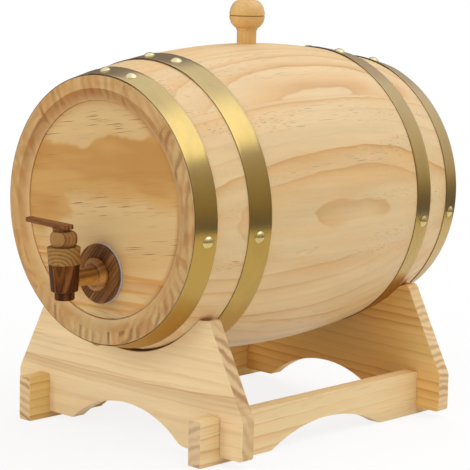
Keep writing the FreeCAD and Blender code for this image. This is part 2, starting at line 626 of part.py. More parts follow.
def make_sleeve():
    """Cork sleeve that lines the key seat, with a window towards the stem."""
    points = [
        ("Sizes.sleeve_foot_radius - Sizes.sleeve_wall", "-Sizes.sleeve_foot"),
        ("Sizes.sleeve_foot_radius", "-Sizes.sleeve_foot"),
        ("Sizes.sleeve_top_radius", "Sizes.tap_top"),
        ("Sizes.sleeve_top_radius - Sizes.sleeve_wall", "Sizes.tap_top"),
    ]
    body = turned("key_sleeve", [TAP], "XZ_Plane", "V_Axis", points)
    drill(body, "sleeve_window", "Sizes.stem_bore_radius", "Sizes.tap_top_radius",
          turn("x", "-90"))
    return body


def make_key():
    """Conical plug with an angled liquid way, a turned grip and a tenon for the lever."""
    low = "Derived.key_shoulder + Sizes.key_grip_edge"
    high = "Derived.key_crown - Sizes.key_grip_edge"
    points = [
        ("0", "Derived.key_foot_z"),
        ("Derived.key_foot_radius", "Derived.key_foot_z"),
        ("Derived.key_top_radius", "Sizes.tap_top"),
        ("Derived.key_top_radius", "Derived.key_shoulder"),
        ("Sizes.key_waist_radius", "Derived.key_shoulder"),
        ("Sizes.key_grip_radius", low),
        ("Sizes.key_grip_radius", high),
        ("Sizes.key_crown_radius", "Derived.key_crown"),
        ("Sizes.tenon_radius", "Derived.key_crown"),
        ("Sizes.tenon_radius", "Derived.tenon_top"),
        ("0", "Derived.tenon_top"),
    ]
    arcs = {
        4: ("1.3 * Sizes.key_grip_edge", 1),
        5: ("3 * Sizes.key_grip_radius", 1),
        6: ("1.3 * Sizes.key_grip_edge", 1),
    }
    body = turned("tap_key", [TAP], "XZ_Plane", "V_Axis", points, arcs)
    drill(body, "key_bore", "Sizes.key_port_radius", "Sizes.key_port_top - Derived.key_foot_z",
          move(z="Derived.key_foot_z"))
    drill(body, "key_side_port", "Sizes.key_side_port_radius", "Sizes.tap_top_radius",
          turn("y", "90"))
    return body


def make_lever():
    """Flat tapering lever with a round foot, its long arm to -X when the tap is shut."""
    middle_z = "(Derived.lever_z + Sizes.lever_thickness / 2)"
    body = new_body("tap_lever", TAP, move(z=middle_z), turn("y", "Sizes.lever_rise_angle"))
    upright = turn("y", "-Sizes.lever_rise_angle")
    points = [
        ("-Sizes.lever_reach", "-Sizes.lever_tip_width / 2"),
        ("Sizes.lever_tail", "-Sizes.lever_width / 2"),
        ("Sizes.lever_tail", "Sizes.lever_width / 2"),
        ("-Sizes.lever_reach", "Sizes.lever_tip_width / 2"),
    ]
    sketch = outline(new_sketch(body, "XY_Plane", "tap_lever_plan"), points)
    pad = extrude(body, sketch, "tap_lever_slat", "Sizes.lever_thickness")
    doc.recompute()
    corners = []
    for index, edge in enumerate(pad.Shape.Edges, start=1):
        if abs(edge.tangentAt(edge.FirstParameter).z) > 0.9:
            corners.append("Edge%d" % index)
    rounding = body.newObject("PartDesign::Fillet", "tap_lever_corners")
    rounding.Base = (pad, corners)
    rounding.setExpression("Radius", "Sizes.lever_rounding")
    foot = body.newObject("PartDesign::AdditiveCylinder", "tap_lever_foot")
    foot.setExpression("Radius", "Sizes.lever_foot_radius")
    foot.setExpression("Height", "Sizes.lever_foot_height + Sizes.lever_thickness / 2")
    foot_z = "Derived.key_crown + Sizes.lever_seat - " + middle_z
    foot.setExpression("Placement", upright + " * " + move(x="-Sizes.lever_foot_shift", z=foot_z))
    drill(body, "tenon_hole", "Sizes.tenon_radius + Sizes.tenon_fit",
          "2 * (Sizes.lever_foot_height + Sizes.lever_thickness)", upright,
          move(z=foot_z + " - Sizes.lever_seat"))
    return body


def make_saddle(name, side, eased=()):
    """Saddle board: arched foot, upright then leaning sides, horns, and a hollow for the barrel.

    eased names the sides, -1 or +1, on which the arch's end is rounded over.
    """
    place = move(y="%d * Derived.saddle_middle" % side)
    body = new_body(name, STAND, place, turn("z", "0" if side < 0 else "180"))
    half = [
        ("Sizes.foot_arch_half_width", "Sizes.saddle_lift"),
        ("Sizes.saddle_half_width", "Sizes.saddle_lift"),
        ("Sizes.saddle_half_width", "Sizes.saddle_side_height"),
        ("Derived.saddle_top", "Derived.saddle_height"),
        ("Derived.cradle_mouth", "Derived.saddle_height"),
    ]
    points = half + [("-" + x, z) for x, z in reversed(half)]
    arcs = {
        len(half) - 1: ("Derived.cradle_radius", -1),
        len(points) - 1: ("Derived.foot_arch_radius", -1),
    }
    sketch = outline(new_sketch(body, "XZ_Plane", name + "_face"), points, arcs)
    board = extrude(body, sketch, name + "_board", "Sizes.saddle_thickness")
    rounded = [
        ("feet", half[1], (-1, 1), "Sizes.foot_rounding"),
        ("horns", half[3], (-1, 1), "Sizes.horn_rounding"),
        ("arch", half[0], eased, "Sizes.arch_easing"),
    ]
    for label, (x, z), sides, radius in rounded:
        if sides:
            board = round_edges(body, board, "%s_%s" % (name, label), x, z, sides, radius)
    cut_notches(body, name)
    cut_seat(body, name)
    return body


def cut_notches(body, name):
    """Notches from below, in which the stretchers sit."""
    for side in (-1, 1):
        near = "%d * Sizes.stretcher_inner" % side
        far = "%d * Derived.stretcher_outer" % side
        points = [
            (near, "-1"),
            (far, "-1"),
            (far, "Sizes.stretcher_height"),
            (near, "Sizes.stretcher_height"),
        ]
        label = "%s_notch_%s" % (name, "left" if side < 0 else "right")
        sketch = outline(new_sketch(body, "XZ_Plane", label + "_face"), points)
        notch = body.newObject("PartDesign::Pocket", label)
        notch.Profile = sketch
        notch.Midplane = True
        notch.setExpression("Length", "2 * Sizes.saddle_thickness")


def cut_seat(body, name):
    """Seats on the horns, cut to the barrel's own curve with a little room."""
    outer = "-Sizes.saddle_thickness"
    inner = "Sizes.saddle_thickness"
    axis = "Sizes.axis_height"
    points = [
        (outer, axis),
        (inner, axis),
        (inner, axis + " - Derived.seat_in_radius"),
        (outer, axis + " - Derived.seat_out_radius"),
    ]
    sketch = outline(new_sketch(body, "YZ_Plane", name + "_seat_section"), points,
                     {2: ("Derived.seat_curve_radius", -1)})
    revolve(body, sketch, "Edge1", name + "_seat", kind="PartDesign::Groove")


def make_stretcher(name, side):
    """Stretcher board on edge, arched underneath, its ends standing out past the saddles."""
    middle = "%d * (Sizes.stretcher_inner + Sizes.stretcher_thickness / 2)" % side
    body = new_body(name, STAND, move(x=middle))
    points = [
        ("-Derived.stretcher_end", "0"),
        ("-Sizes.stretcher_arch_half_length", "0"),
        ("Sizes.stretcher_arch_half_length", "0"),
        ("Derived.stretcher_end", "0"),
        ("Derived.stretcher_end", "Sizes.stretcher_height"),
        ("-Derived.stretcher_end", "Sizes.stretcher_height"),
    ]
    sketch = outline(new_sketch(body, "YZ_Plane", name + "_side"), points,
                     {1: ("Derived.stretcher_arch_radius", -1)})
    board = extrude(body, sketch, name + "_board", "Sizes.stretcher_thickness")
    doc.recompute()
    lower = []
    for index, edge in enumerate(board.Shape.Edges, start=1):
        middle_point = edge.CenterOfMass
        at_end = abs(abs(middle_point.y) - number("Derived.stretcher_end")) < 0.01
        if at_end and abs(middle_point.z) < 0.01:
            lower.append("Edge%d" % index)
    rounding = body.newObject("PartDesign::Fillet", name + "_corners")
    rounding.Base = (board, lower)
    rounding.setExpression("Radius", "Sizes.stretcher_rounding")
    return body


def build_all():
    """Every node of the dispenser, in the order in which a cooper would lay it out."""
    parts = [make_stave(index) for index in range(int(number("Sizes.stave_count")))]
    front_head = make_head("front_head", -1)
    drill(front_head, "tap_hole", "Derived.shank_hole_radius", "2 * Sizes.tap_reach",
          TAP_HOLE, DROOP, TO_KEY, turn("x", "-90"))
    parts += [front_head, make_head("rear_head", 1)]
    parts += [make_hoop(hoop) for hoop in HOOPS]
    parts += [make_nails(hoop) for hoop in HOOPS]
    parts += [make_bung()]
    parts += [make_disc("tap_gasket", "0", "Sizes.gasket_thickness", "Sizes.gasket_radius")]
    parts += [make_disc("tap_rosette", "Sizes.gasket_thickness", "Derived.rosette_front",
                        "Sizes.rosette_radius", "Sizes.rosette_rounding")]
    parts += [make_stem(), make_tap_body(), make_sleeve(), make_key(), make_lever()]
    parts += [make_saddle("front_saddle", -1, eased=(1,)), make_saddle("rear_saddle", 1)]
    parts += [make_stretcher("left_stretcher", -1), make_stretcher("right_stretcher", 1)]
    doc.recompute()
    return parts


def check(parts):
    """Stop with a plain message if anything failed to build."""
    for item in doc.Objects:
        if "Invalid" in item.State or "Error" in item.State:
            raise RuntimeError("%s failed: %s" % (item.Label, item.State))
    for part in parts:
        if part.Shape.isNull() or not part.Shape.isValid():
            raise RuntimeError("%s has no valid shape" % part.Label)


parts = build_all()
check(parts)
os.makedirs("parts", exist_ok=True)
for part in parts:
    part.Shape.exportStep("parts/%s.step" % part.Label)
    print("%-20s %d solid(s) %10.1f mm3" % (part.Label, len(part.Shape.Solids), part.Shape.Volume))
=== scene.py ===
# %% [markdown]
# # A small wooden barrel with a tap, in its cradle
#
# This lesson dresses a coopered barrel that lies in a wooden cradle. Another
# program has already fixed where every part goes, and that model comes in
# first as a frame. Each step then makes one piece or one finish as a surface
# worked out with numpy, in metres, in the frame's own axes: +Z is up, the
# barrel lies along Y and its tap looks towards -Y.

import math

import bmesh
import bpy
import numpy as np
from mathutils import Matrix


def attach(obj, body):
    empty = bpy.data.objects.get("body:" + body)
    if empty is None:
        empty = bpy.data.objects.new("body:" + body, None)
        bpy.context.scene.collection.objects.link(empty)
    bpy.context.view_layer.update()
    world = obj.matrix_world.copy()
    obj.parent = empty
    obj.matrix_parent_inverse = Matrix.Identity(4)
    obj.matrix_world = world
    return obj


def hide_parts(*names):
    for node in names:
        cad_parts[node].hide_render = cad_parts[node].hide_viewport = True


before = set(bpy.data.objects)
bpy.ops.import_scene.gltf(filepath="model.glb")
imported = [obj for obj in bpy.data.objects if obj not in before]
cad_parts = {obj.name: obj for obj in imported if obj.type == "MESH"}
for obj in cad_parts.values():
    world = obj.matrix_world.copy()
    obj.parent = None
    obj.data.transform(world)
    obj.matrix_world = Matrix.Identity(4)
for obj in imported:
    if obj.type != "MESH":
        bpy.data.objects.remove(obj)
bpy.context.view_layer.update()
MM = 0.001
print("nodes in the frame:", len(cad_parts))


# %% Short helpers
def vectors(*numbers):
    """Numbers or arrays, stretched to one shape, as an array of points."""
    return np.stack(np.broadcast_arrays(*numbers), axis=-1)


def unit(value):
    """A value held between 0 and 1."""
    return np.clip(value, 0, 1)


def hill(degrees, gain=1.0):
    """A cosine times gain, held between 0 and 1: highest at 0 degrees and gone by 90."""
    return unit(gain * np.cos(np.radians(degrees)))


def bell(value, middle, width, power=2):
    """1 at the middle, falling off on both sides over the width."""
    return np.exp(-((value - middle) / width) ** power)


def show(name, data):
    """An object of the scene that shows a mesh, a lamp or a camera."""
    made = bpy.data.objects.new(name, data)
    bpy.context.scene.collection.objects.link(made)
    return made


def axes_matrix(right, up, back, origin):
    """The matrix of a lamp or camera with these axes at this origin."""
    axes = np.eye(4)
    axes[:3] = np.column_stack([right, up, back, origin])
    return Matrix(axes.tolist())


print("hill at 0, 60 and 120 degrees:", np.round(hill(np.array([0, 60, 120])), 2))

# %% [markdown]
# ## The camera
#
# The picture was taken from in front and to the right, a little above the
# barrel, from about a metre and a half away with a long lens. The numbers come
# from matching about a hundred points of the model to the picture, which also
# gave a slight roll and a small shift of the picture's middle.

# %% Camera
PICTURE = 470
EYE = np.array([932.404, -969.452, 338.463]) * MM
YAW, PITCH, ROLL = 0.759, math.radians(-9.0206), math.radians(1.2036)
FOCAL_PIXELS = 2008.882
MIDDLE = (231.525, 238.388)
forward = np.array([-math.sin(YAW) * math.cos(PITCH), math.cos(YAW) * math.cos(PITCH), math.sin(PITCH)])
level = np.array([math.cos(YAW), math.sin(YAW), 0.0])
upright = np.cross(level, forward)
lens = bpy.data.cameras.new("camera")
lens.sensor_width = 36.0
lens.lens = FOCAL_PIXELS / PICTURE * lens.sensor_width
lens.shift_x = (PICTURE / 2 - MIDDLE[0]) / PICTURE
lens.shift_y = (MIDDLE[1] - PICTURE / 2) / PICTURE
lens.clip_end = 20.0
camera = show("camera", lens)
camera.matrix_world = axes_matrix(math.cos(ROLL) * level + math.sin(ROLL) * upright,
                                  math.cos(ROLL) * upright - math.sin(ROLL) * level, -forward, EYE)
bpy.context.scene.camera = camera
bpy.context.scene.view_settings.view_transform = "Standard"
print("lens", round(lens.lens, 1), "mm")

# %% [markdown]
# ## Shader maths as plain expressions
#
# A wood finish needs dozens of small sums. Wrapping a socket in a class that
# knows +, -, * and / lets the sums be written as Python, and every sum adds
# its own Math node. Any other node comes from one method, `node`, which also
# reads three numbers from 0 to 255 as a colour seen on a screen.


# %% Shader helper
def linear(red, green, blue):
    """A colour read off a screen, 0 to 255 each, as the linear colour a shader wants."""
    screen = np.array([red, green, blue]) / 255.0
    value = np.where(screen <= 0.04045, screen / 12.92, ((screen + 0.055) / 1.055) ** 2.4)
    return (*value.tolist(), 1.0)


class Wire:
    """One value in a material: an output socket with Python's operators."""

    def __init__(self, finish, socket):
        self.finish = finish
        self.socket = socket

    def maths(self, operation, *others):
        """A Math node on this value and the others."""
        return self.finish.maths(operation, self, *others)

    def step(self, low, high, smooth=True):
        """0 below low and 1 above high, or the other way round where low is the higher."""
        return self.finish.node("MapRange", {0: self, 1: low, 2: high},
                                interpolation_type="SMOOTHSTEP" if smooth else "LINEAR")


for sign, word in (("add", "ADD"), ("sub", "SUBTRACT"), ("mul", "MULTIPLY"), ("truediv", "DIVIDE"), ("pow", "POWER")):
    setattr(Wire, "__%s__" % sign, lambda self, other, word=word: self.finish.maths(word, self, other))
    setattr(Wire, "__r%s__" % sign, lambda self, other, word=word: self.finish.maths(word, other, self))


class Finish:
    """A material built by expressions."""

    def __init__(self, name, owner=None):
        self.material = owner or bpy.data.materials.new(name)
        self.material.use_nodes = True
        self.tree = self.material.node_tree
        self.tree.nodes.clear()

    def node(self, kind, values=None, out=0, **settings):
        """Any node: its type, the values or wires of its sockets, the output to use, its settings."""
        made = self.tree.nodes.new("ShaderNode" + kind)
        for key, setting in settings.items():
            setattr(made, key, setting)
        for key, value in (values or {}).items():
            if isinstance(value, Wire):
                self.tree.links.new(value.socket, made.inputs[key])
            elif isinstance(value, tuple) and len(value) == 3:
                made.inputs[key].default_value = linear(*value)
            else:
                made.inputs[key].default_value = value
        return Wire(self, made.outputs[out]) if len(made.outputs) else None

    def maths(self, operation, *values):
        """A Math node on some values."""
        return self.node("Math", dict(enumerate(values)), operation=operation)

    def place(self, attribute=None):
        """Position: the piece's own attribute where it has one, otherwise the object's."""
        if attribute:
            return self.node("Attribute", out="Vector", attribute_name=attribute)
        return self.node("TexCoord", out="Object")

    def value(self, attribute):
        """A single number that the mesh carries."""
        return self.node("Attribute", out="Fac", attribute_name=attribute)

    def split(self, vector):
        """The three numbers of a vector."""
        parts = self.node("SeparateXYZ", {0: vector})
        return [Wire(self, socket) for socket in parts.socket.node.outputs]

    def join(self, x, y, z):
        """A vector of three numbers."""
        return self.node("CombineXYZ", {0: x, 1: y, 2: z})

    def mix(self, amount, first, second, blend="MIX"):
        """A colour between two, or blended in another way."""
        return self.node("Mix", {0: amount, 6: first, 7: second}, 2, data_type="RGBA", blend_type=blend)

    def shaded(self, colour, shade, amount=1.0):
        """A colour multiplied by a number or by another colour."""
        if isinstance(shade, Wire):
            shade = self.join(shade, shade, shade)
        return self.mix(amount, colour, shade, "MULTIPLY")

    def noise(self, vector, detail=2.0, roughness=0.5, scale=1.0, out="Fac"):
        """Soft random values, 0 to 1, at a vector or at three numbers."""
        if isinstance(vector, tuple):
            vector = self.join(*vector)
        return self.node("TexNoise", {"Vector": vector, "Scale": scale, "Detail": detail, "Roughness": roughness}, out)

    def chance(self, count):
        """A random value, 0 to 1, for each whole number."""
        return self.node("TexWhiteNoise", {"W": count}, "Value", noise_dimensions="1D")

    def seen(self):
        """1 for the rays of the camera, of mirrors and of glass, 0 for those that carry light."""
        rays = self.node("LightPath", out="Is Camera Ray")
        glossy, through = (Wire(self, rays.socket.node.outputs[kind])
                           for kind in ("Is Glossy Ray", "Is Transmission Ray"))
        return rays.maths("MAXIMUM", glossy).maths("MAXIMUM", through)

    def output(self, shader, kind="Material"):
        """End the material, or the world, in a shader."""
        self.node("Output" + kind, {"Surface": shader})
        return self.material

    def finish(self, colour, roughness, height=None, depth=0.0, **fixed):
        """Surface and output; height in metres times depth makes the bump."""
        values = {"Base Color": colour, "Roughness": roughness, "Specular IOR Level": 0.35, **fixed}
        if height is not None:
            values["Normal"] = self.node("Bump", {"Distance": depth, "Height": height})
        return self.output(self.node("BsdfPrincipled", values))


print("a middle grey is", round(linear(128, 128, 128)[0], 3), "in a shader")

# %% [markdown]
# ## Pine, from growth rings
#
# Every pine board is cut from a log, and all its figure comes from one fact:
# colour depends on the distance from the log's pith, counted in rings. So each
# mesh carries an attribute `log`, its place in the log it was sawn from: x
# along the trunk, y and z across it with the pith at zero. A board that leaves
# the pith at a slant shows tall arches, one beside it shows straight stripes,
# and its end shows arcs. One rule gives all three, and they meet at the edges.
# A second attribute, `plank`, holds three numbers: whether the bark side is
# turned the other way, how warm the board's colour is, and how much the colour
# is darkened: mostly painted shade where shade falls in bevels, grooves and the
# hollow under the barrel, and a little finish soaked into end grain. A third,
# `figure`, says where the rings stand out more, and where less, and a fourth,
# `cut`, tells end grain from the sides.


# %% Pine finish
APART = 700  # boards lie this far apart along their logs, so that each draws its own rings


class Wood(Finish):
    """A finish that knows where each point lay in its log: along, across and deep, in millimetres."""

    def __init__(self, name):
        super().__init__(name)
        self.log = self.split(self.place("log"))

    def grain(self, fine_along, fine_across, *detail, **more):
        """Noise with its own fineness along the trunk and across it."""
        along, across, deep = self.log
        return self.noise((along * fine_along, across * fine_across, deep * fine_across), *detail, **more)


def pine(name, early, honey, late, blush, ring=8.0, contrast=0.8, sheen=0.42, dashes=1.0, wander=5.0, calm=0.5,
         sawn=((228, 192, 146), (150, 100, 58)), end_ring=0.45, streaks=0.0, extra=None):
    """Pine from the log attribute, in millimetres.

    Rings: distance from a gently wandering pith over the ring width; inside a
    ring the colour warms slowly to honey, ends in a narrow line of late wood
    and drops back at once. Rings differ in strength, and over calm stretches
    they hardly show. sawn is the end grain's two colours, and extra a function
    that lays something of its own over the colour.
    """
    wood = Wood(name)
    along, across, deep = wood.log
    turned, warm, shade_and_stain = wood.split(wood.place("plank"))
    figure = wood.value("figure")
    drift = wood.split(wood.grain(0.0055, 0.012, 1.0, 0.4, out="Color"))
    ripple = wood.grain(0.022, 0.07)
    across_pith = across + (drift[0] - 0.5) * (4 * wander)
    deep_pith = deep + (drift[1] - 0.5) * (4 * wander)
    distance = (across_pith * across_pith + deep_pith * deep_pith) ** 0.5 + (ripple - 0.5) * 3.5
    distance = distance * (1 - turned * 2)
    rings = distance / ring
    inside = rings.maths("FRACT")
    board = (along / APART + 0.5).maths("FLOOR") * 17.3
    strength = wood.chance(rings.maths("FLOOR") + board)
    fresh = 1 - inside.step(0.95, 1.0)
    busy = wood.noise((distance * 0.05, along * 0.003, 0.7), 1.0).step(calm - 0.12, calm + 0.12)
    power = (0.12 + strength * 0.88) * (0.3 + busy * 0.7) * contrast
    power = (power * (1 + figure)).maths("MINIMUM", 1.0)
    glow = inside ** 2.0 * fresh * power
    line = inside ** 9.0 * fresh * power
    patches = wood.grain(0.008, 0.03, 2.0, 0.55)
    base = wood.mix(patches.step(0.42, 0.72) * 0.8 + warm * 0.5, early, blush)
    colour = wood.mix(glow, base, honey)
    colour = wood.mix(line * 0.8, colour, late)
    threads = wood.grain(0.06, 2.2, 3.0, 0.6)
    bands = wood.grain(0.007, 0.14)
    colour = wood.shaded(colour, 1 + (threads - 0.5) * 0.2 + (bands - 0.5) * 0.22)
    pores = wood.grain(0.045, 2.0, 0.0)
    rows = wood.grain(0.004, 0.06, 1.0)
    dash = pores.step(0.66, 0.80) * rows.step(0.52, 0.62) * (0.6 * dashes)
    colour = wood.mix(dash, colour, (140, 92, 50))
    # the end grain: narrow streaks of its own, blots and specks
    ends = wood.value("cut").step(0.45, 0.85)
    specks = wood.grain(0.8, 1.3, 3.0, 0.7)
    fine = rings / end_ring + (ripple - 0.5) * 0.8
    deepness = wood.chance(fine.maths("FLOOR") + board)
    streak = fine.maths("FRACT").maths("PINGPONG", 0.5).step(0.12, 0.42) * (0.15 + deepness * 0.85)
    blot = wood.grain(0.02, 0.10, 1.0)
    streak = streak * (1 - streaks + streaks * blot.step(0.40, 0.60)) + blot.step(0.60, 0.42) * streaks * 0.25
    streak = streak * (1 + figure.maths("MINIMUM", 0.0))
    oily = wood.noise((along * 0.02, across * 0.05, deep * 0.05 + 7), 2.0, 0.6)
    face = wood.mix(oily.step(0.46, 0.60) * streaks, sawn[0], (196, 134, 66))
    face = wood.mix(streak + specks.step(0.5, 0.8) * 0.3, face, sawn[1])
    face = wood.mix(warm * 0.6, face, honey)
    colour = wood.mix(ends * 0.9, colour, face)
    # painted shade: the plank's third number darkens the colour where shade falls, besides a little finish soaked into
    # end grain
    colour = wood.shaded(colour, (0.58, 0.38, 0.19, 1), shade_and_stain)
    if extra:
        colour = extra(wood, colour)
    height = (threads * 0.4 + line * 0.3) * (1 - ends) - dash * 0.8
    return wood.finish(colour, sheen + threads * 0.14 + ends * 0.2, height, 0.00005)


stave_pine = pine("stave_pine", (228, 198, 148), (220, 168, 100), (190, 134, 78), (226, 184, 126), contrast=1.0,
                  wander=3.0, sawn=((212, 176, 118), (118, 78, 38)), end_ring=0.85, streaks=0.6)
print("stave pine has", len(stave_pine.node_tree.nodes), "nodes")

# %% [markdown]
# ## Surfaces from grids
#
# Almost every new piece is a grid of points: one parameter runs along a
# profile and the other carries it round or along a path. The helper takes the
# whole array at once, joins the ends where the surface closes, and closes a
# board's two faces with one flat polygon each.


# %% Mesh helpers
def circle(count):
    """Angles of even steps round a circle, in radians."""
    return np.linspace(0, 2 * np.pi, count, endpoint=False)


def spin(profile, count):
    """A profile of (radius, height) spun about +Z: rows along the profile, columns round it."""
    r, z = profile[:, :1], profile[:, 1:]
    return vectors(r * np.cos(circle(count)), r * np.sin(circle(count)), z)


def grid_faces(rows, columns, closed=False):
    """The faces of a grid whose rows are rings; closed joins the last row to the first."""
    grid = np.arange(rows * columns).reshape(rows, columns)
    if closed:
        grid = np.vstack([grid, grid[:1]])
    grid = np.hstack([grid, grid[:, :1]])
    return vectors(grid[:-1, :-1], grid[:-1, 1:], grid[1:, 1:], grid[1:, :-1]).reshape(-1, 4)


def end_caps(rows, columns):
    """One polygon on the first row and one on the last, both facing outwards."""
    ring = np.arange(columns)
    return [ring[::-1].tolist(), (ring + (rows - 1) * columns).tolist()]


def mesh_of(name, points, faces):
    """A mesh from points in metres and faces as lists of their numbers."""
    mesh = bpy.data.meshes.new(name)
    mesh.from_pydata(points.reshape(-1, 3).tolist(), [], faces)
    return mesh


def surface(name, points, body, slot, material, nodes=(), closed=False, caps=False, **rest):
    """A grid of points (rows, columns, 3) in metres as a piece; faces without an area are left out."""
    rows, columns = points.shape[:2]
    quads = grid_faces(rows, columns, closed)
    corners = points.reshape(-1, 3)[quads]
    size = np.linalg.norm(np.cross(corners[:, 2] - corners[:, 0], corners[:, 3] - corners[:, 1]), axis=1)
    faces = quads[size > 1e-13].tolist() + (end_caps(rows, columns) if caps else [])
    return piece(name, mesh_of(name, points, faces), body, slot, material, nodes, **rest)


def cleaned(mesh):
    """Merge doubled points and face everything outwards."""
    work = bmesh.new()
    work.from_mesh(mesh)
    bmesh.ops.remove_doubles(work, verts=work.verts, dist=1e-7)
    bmesh.ops.recalc_face_normals(work, faces=work.faces)
    work.to_mesh(mesh)
    work.free()
    mesh.update()


def read(mesh, field):
    """The places or the normals of a mesh's points, as rows of three."""
    numbers = np.empty(len(mesh.vertices) * 3, np.float32)
    mesh.vertices.foreach_get(field, numbers)
    return numbers.reshape(-1, 3)


def piece(name, mesh, body, slot, material, nodes=(), smooth=30.0, grain=None, drill=None, weighted=False, **rules):
    """Tidy a mesh, write its attributes, hide the frame's nodes it replaces, and let it ride on a body.

    The rules log, plank and figure are functions from places in millimetres to
    that attribute. Where the grain's direction is given, the attribute `cut`
    says how far each point's surface is cut across it: 0 along the grain, 1 on
    end grain. drill is a solid that is cut out first.
    """
    cleaned(mesh)
    made = show(name, mesh)
    if drill:
        cutting = made.modifiers.new("drill", "BOOLEAN")
        cutting.operation, cutting.object, cutting.solver = "DIFFERENCE", drill, "EXACT"
        bpy.context.view_layer.update()
        drilled = bpy.data.meshes.new_from_object(made.evaluated_get(bpy.context.evaluated_depsgraph_get()))
        made.modifiers.clear()
        made.data = mesh = drilled
        bpy.data.objects.remove(drill)
    mesh.shade_smooth()
    mesh.set_sharp_from_angle(angle=math.radians(smooth))
    places = read(mesh, "co").astype(float) / MM
    values = {key: rule(places) for key, rule in rules.items() if rule}
    if grain is not None:
        values["cut"] = np.abs(read(mesh, "normal") @ np.array(grain, np.float32))
    for key, rows in values.items():
        kind, field = ("FLOAT_VECTOR", "vector") if np.ndim(rows) == 2 else ("FLOAT", "value")
        layer = mesh.attributes.new(key, kind, "POINT")
        layer.data.foreach_set(field, np.asarray(rows, np.float32).reshape(-1))
    mesh.materials.clear()
    mesh.materials.append(material)
    if weighted:
        made.modifiers.new("even_faces", "WEIGHTED_NORMAL").keep_sharp = True
    if nodes:
        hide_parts(*nodes)
    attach(made, body)
    print(name, len(mesh.polygons), "faces")
    return made


# %% Outline helpers
def softened(profile, radius, steps=4):
    """A profile's corners rounded: each corner is cut back by radius and bridged by a curve.

    profile is a list of (a, b, factor) with factor 0 for a corner that stays sharp.
    """
    points = np.array([p[:2] for p in profile], float)
    factors = [p[2] if len(p) > 2 else 1.0 for p in profile]
    result = []
    for index, (here, factor) in enumerate(zip(points, factors)):
        if factor == 0 or index in (0, len(points) - 1):
            result.append(here[None])
            continue
        before, after = points[index - 1] - here, points[index + 1] - here
        cut = min(radius * factor, 0.45 * np.linalg.norm(before), 0.45 * np.linalg.norm(after))
        first = here + before / np.linalg.norm(before) * cut
        last = here + after / np.linalg.norm(after) * cut
        t = np.linspace(0, 1, steps + 1)[:, None]
        result.append((1 - t) ** 2 * first + 2 * t * (1 - t) * here + t ** 2 * last)
    return np.concatenate(result)


def circle_arc(start, finish, rise, count):
    """Points between two ends of an arc that rises from the chord's middle, to its left where positive."""
    start, finish = np.array(start, float), np.array(finish, float)
    half = np.linalg.norm(finish - start) / 2
    radius = (half ** 2 + rise ** 2) / (2 * abs(rise))
    along = (finish - start) / (2 * half)
    left = np.array([-along[1], along[0]]) * math.copysign(1, rise)
    reach = math.asin(half / radius)
    turn = np.linspace(-reach, reach, count)[:, None]
    middle = (start + finish) / 2
    return middle + along * radius * np.sin(turn) + left * (radius * np.cos(turn) - (radius - abs(rise)))


def arc(start, finish, radius, side=1, count=14):
    """The shorter arc of a radius between two points; side is +1 where it bulges to the right of the way."""
    drop = radius - math.sqrt(radius ** 2 - (math.dist(start, finish) / 2) ** 2)
    return circle_arc(start, finish, -side * drop, count)


print("an arc's middle:", np.round(arc((0, 0), (2, 0), 2.0, count=3)[1], 3))

# %% [markdown]
# ## The barrel's shape
#
# A cooper bends straight planks so that the barrel swells in the middle. The
# outside follows an arc of a large circle, so the radius at a distance y from
# the middle is the circle's centre height plus the root of R squared less y
# squared. Every piece on the barrel reads its place from this one function.

# %% Barrel numbers
SHIFT, AXIS = 19.66, 153.6
HALF, BILGE, END = 130.25, 102.3, 86.0
BEND = (HALF ** 2 + (BILGE - END) ** 2) / (2 * (BILGE - END))
CENTRE = BILGE - BEND
PLANK, HEAD_FACE, CROZE_BACK = 14.0, 126.25, 121.25


def outside(y, depth=0.0):
    """Radius of the staves at y millimetres from the barrel's middle, at a depth under their outside."""
    return CENTRE + np.sqrt((BEND - depth) ** 2 - np.asarray(y, float) ** 2)


def around(y, radius, angle):
    """Barrel places to metres: y along the axis, angle in degrees from the top towards +X."""
    turn = np.radians(angle)
    return vectors(radius * np.sin(turn), y + SHIFT, radius * np.cos(turn) + AXIS) * MM


def barrel_place(places):
    """Places in the frame's axes to the barrel's: y along it, radius, and angle from the top towards +X."""
    x, y, z = places.T
    return y - SHIFT, np.hypot(x, z - AXIS), np.degrees(np.arctan2(x, z - AXIS))


print("radius at the bilge and the ends", outside(0), round(float(outside(HALF)), 2))

# %% [markdown]
# ## The staves
#
# Twelve planks close the barrel. Each one is a closed profile, from the
# outside over the end's flat, the bevel and the groove for the head to the
# hollow side, carried through its 30 degrees. The long edges are eased by a
# tenth of a millimetre, so that a joint shows as a hairline. Every stave gets
# its own place in a log, chosen so that wide arches show where the picture has
# them and rows of short dashes where it has those.

# %% Stave profile
FLAT, MOUTH_EDGE, CROZE = 78.3, 70.4, 77.0
ROUND = 0.5
long_y = np.linspace(-HALF + ROUND, HALF - ROUND, 150)
right_end = softened([(HALF - ROUND, float(outside(HALF - ROUND))), (HALF, END), (HALF, FLAT),
                      (HALF - 3.2, MOUTH_EDGE, 0), (HEAD_FACE, MOUTH_EDGE, 0), (HEAD_FACE, CROZE, 0),
                      (CROZE_BACK, CROZE, 0), (CROZE_BACK, float(outside(CROZE_BACK, PLANK)), 0)], ROUND, 3)
left_end = right_end[::-1] * [-1, 1]
inner_y = np.linspace(CROZE_BACK, -CROZE_BACK, 40)[1:-1]
stave_profile = np.concatenate([vectors(long_y, outside(long_y)), right_end[1:],
                                vectors(inner_y, outside(inner_y, PLANK)), left_end[:-1]])
across_angles = np.concatenate([[-15, -14.93, -14.7], np.linspace(-14.2, 14.2, 15), [14.7, 14.93, 15]])
easing = np.array([0.10, 0.03] + [0.0] * 17 + [0.03, 0.10])

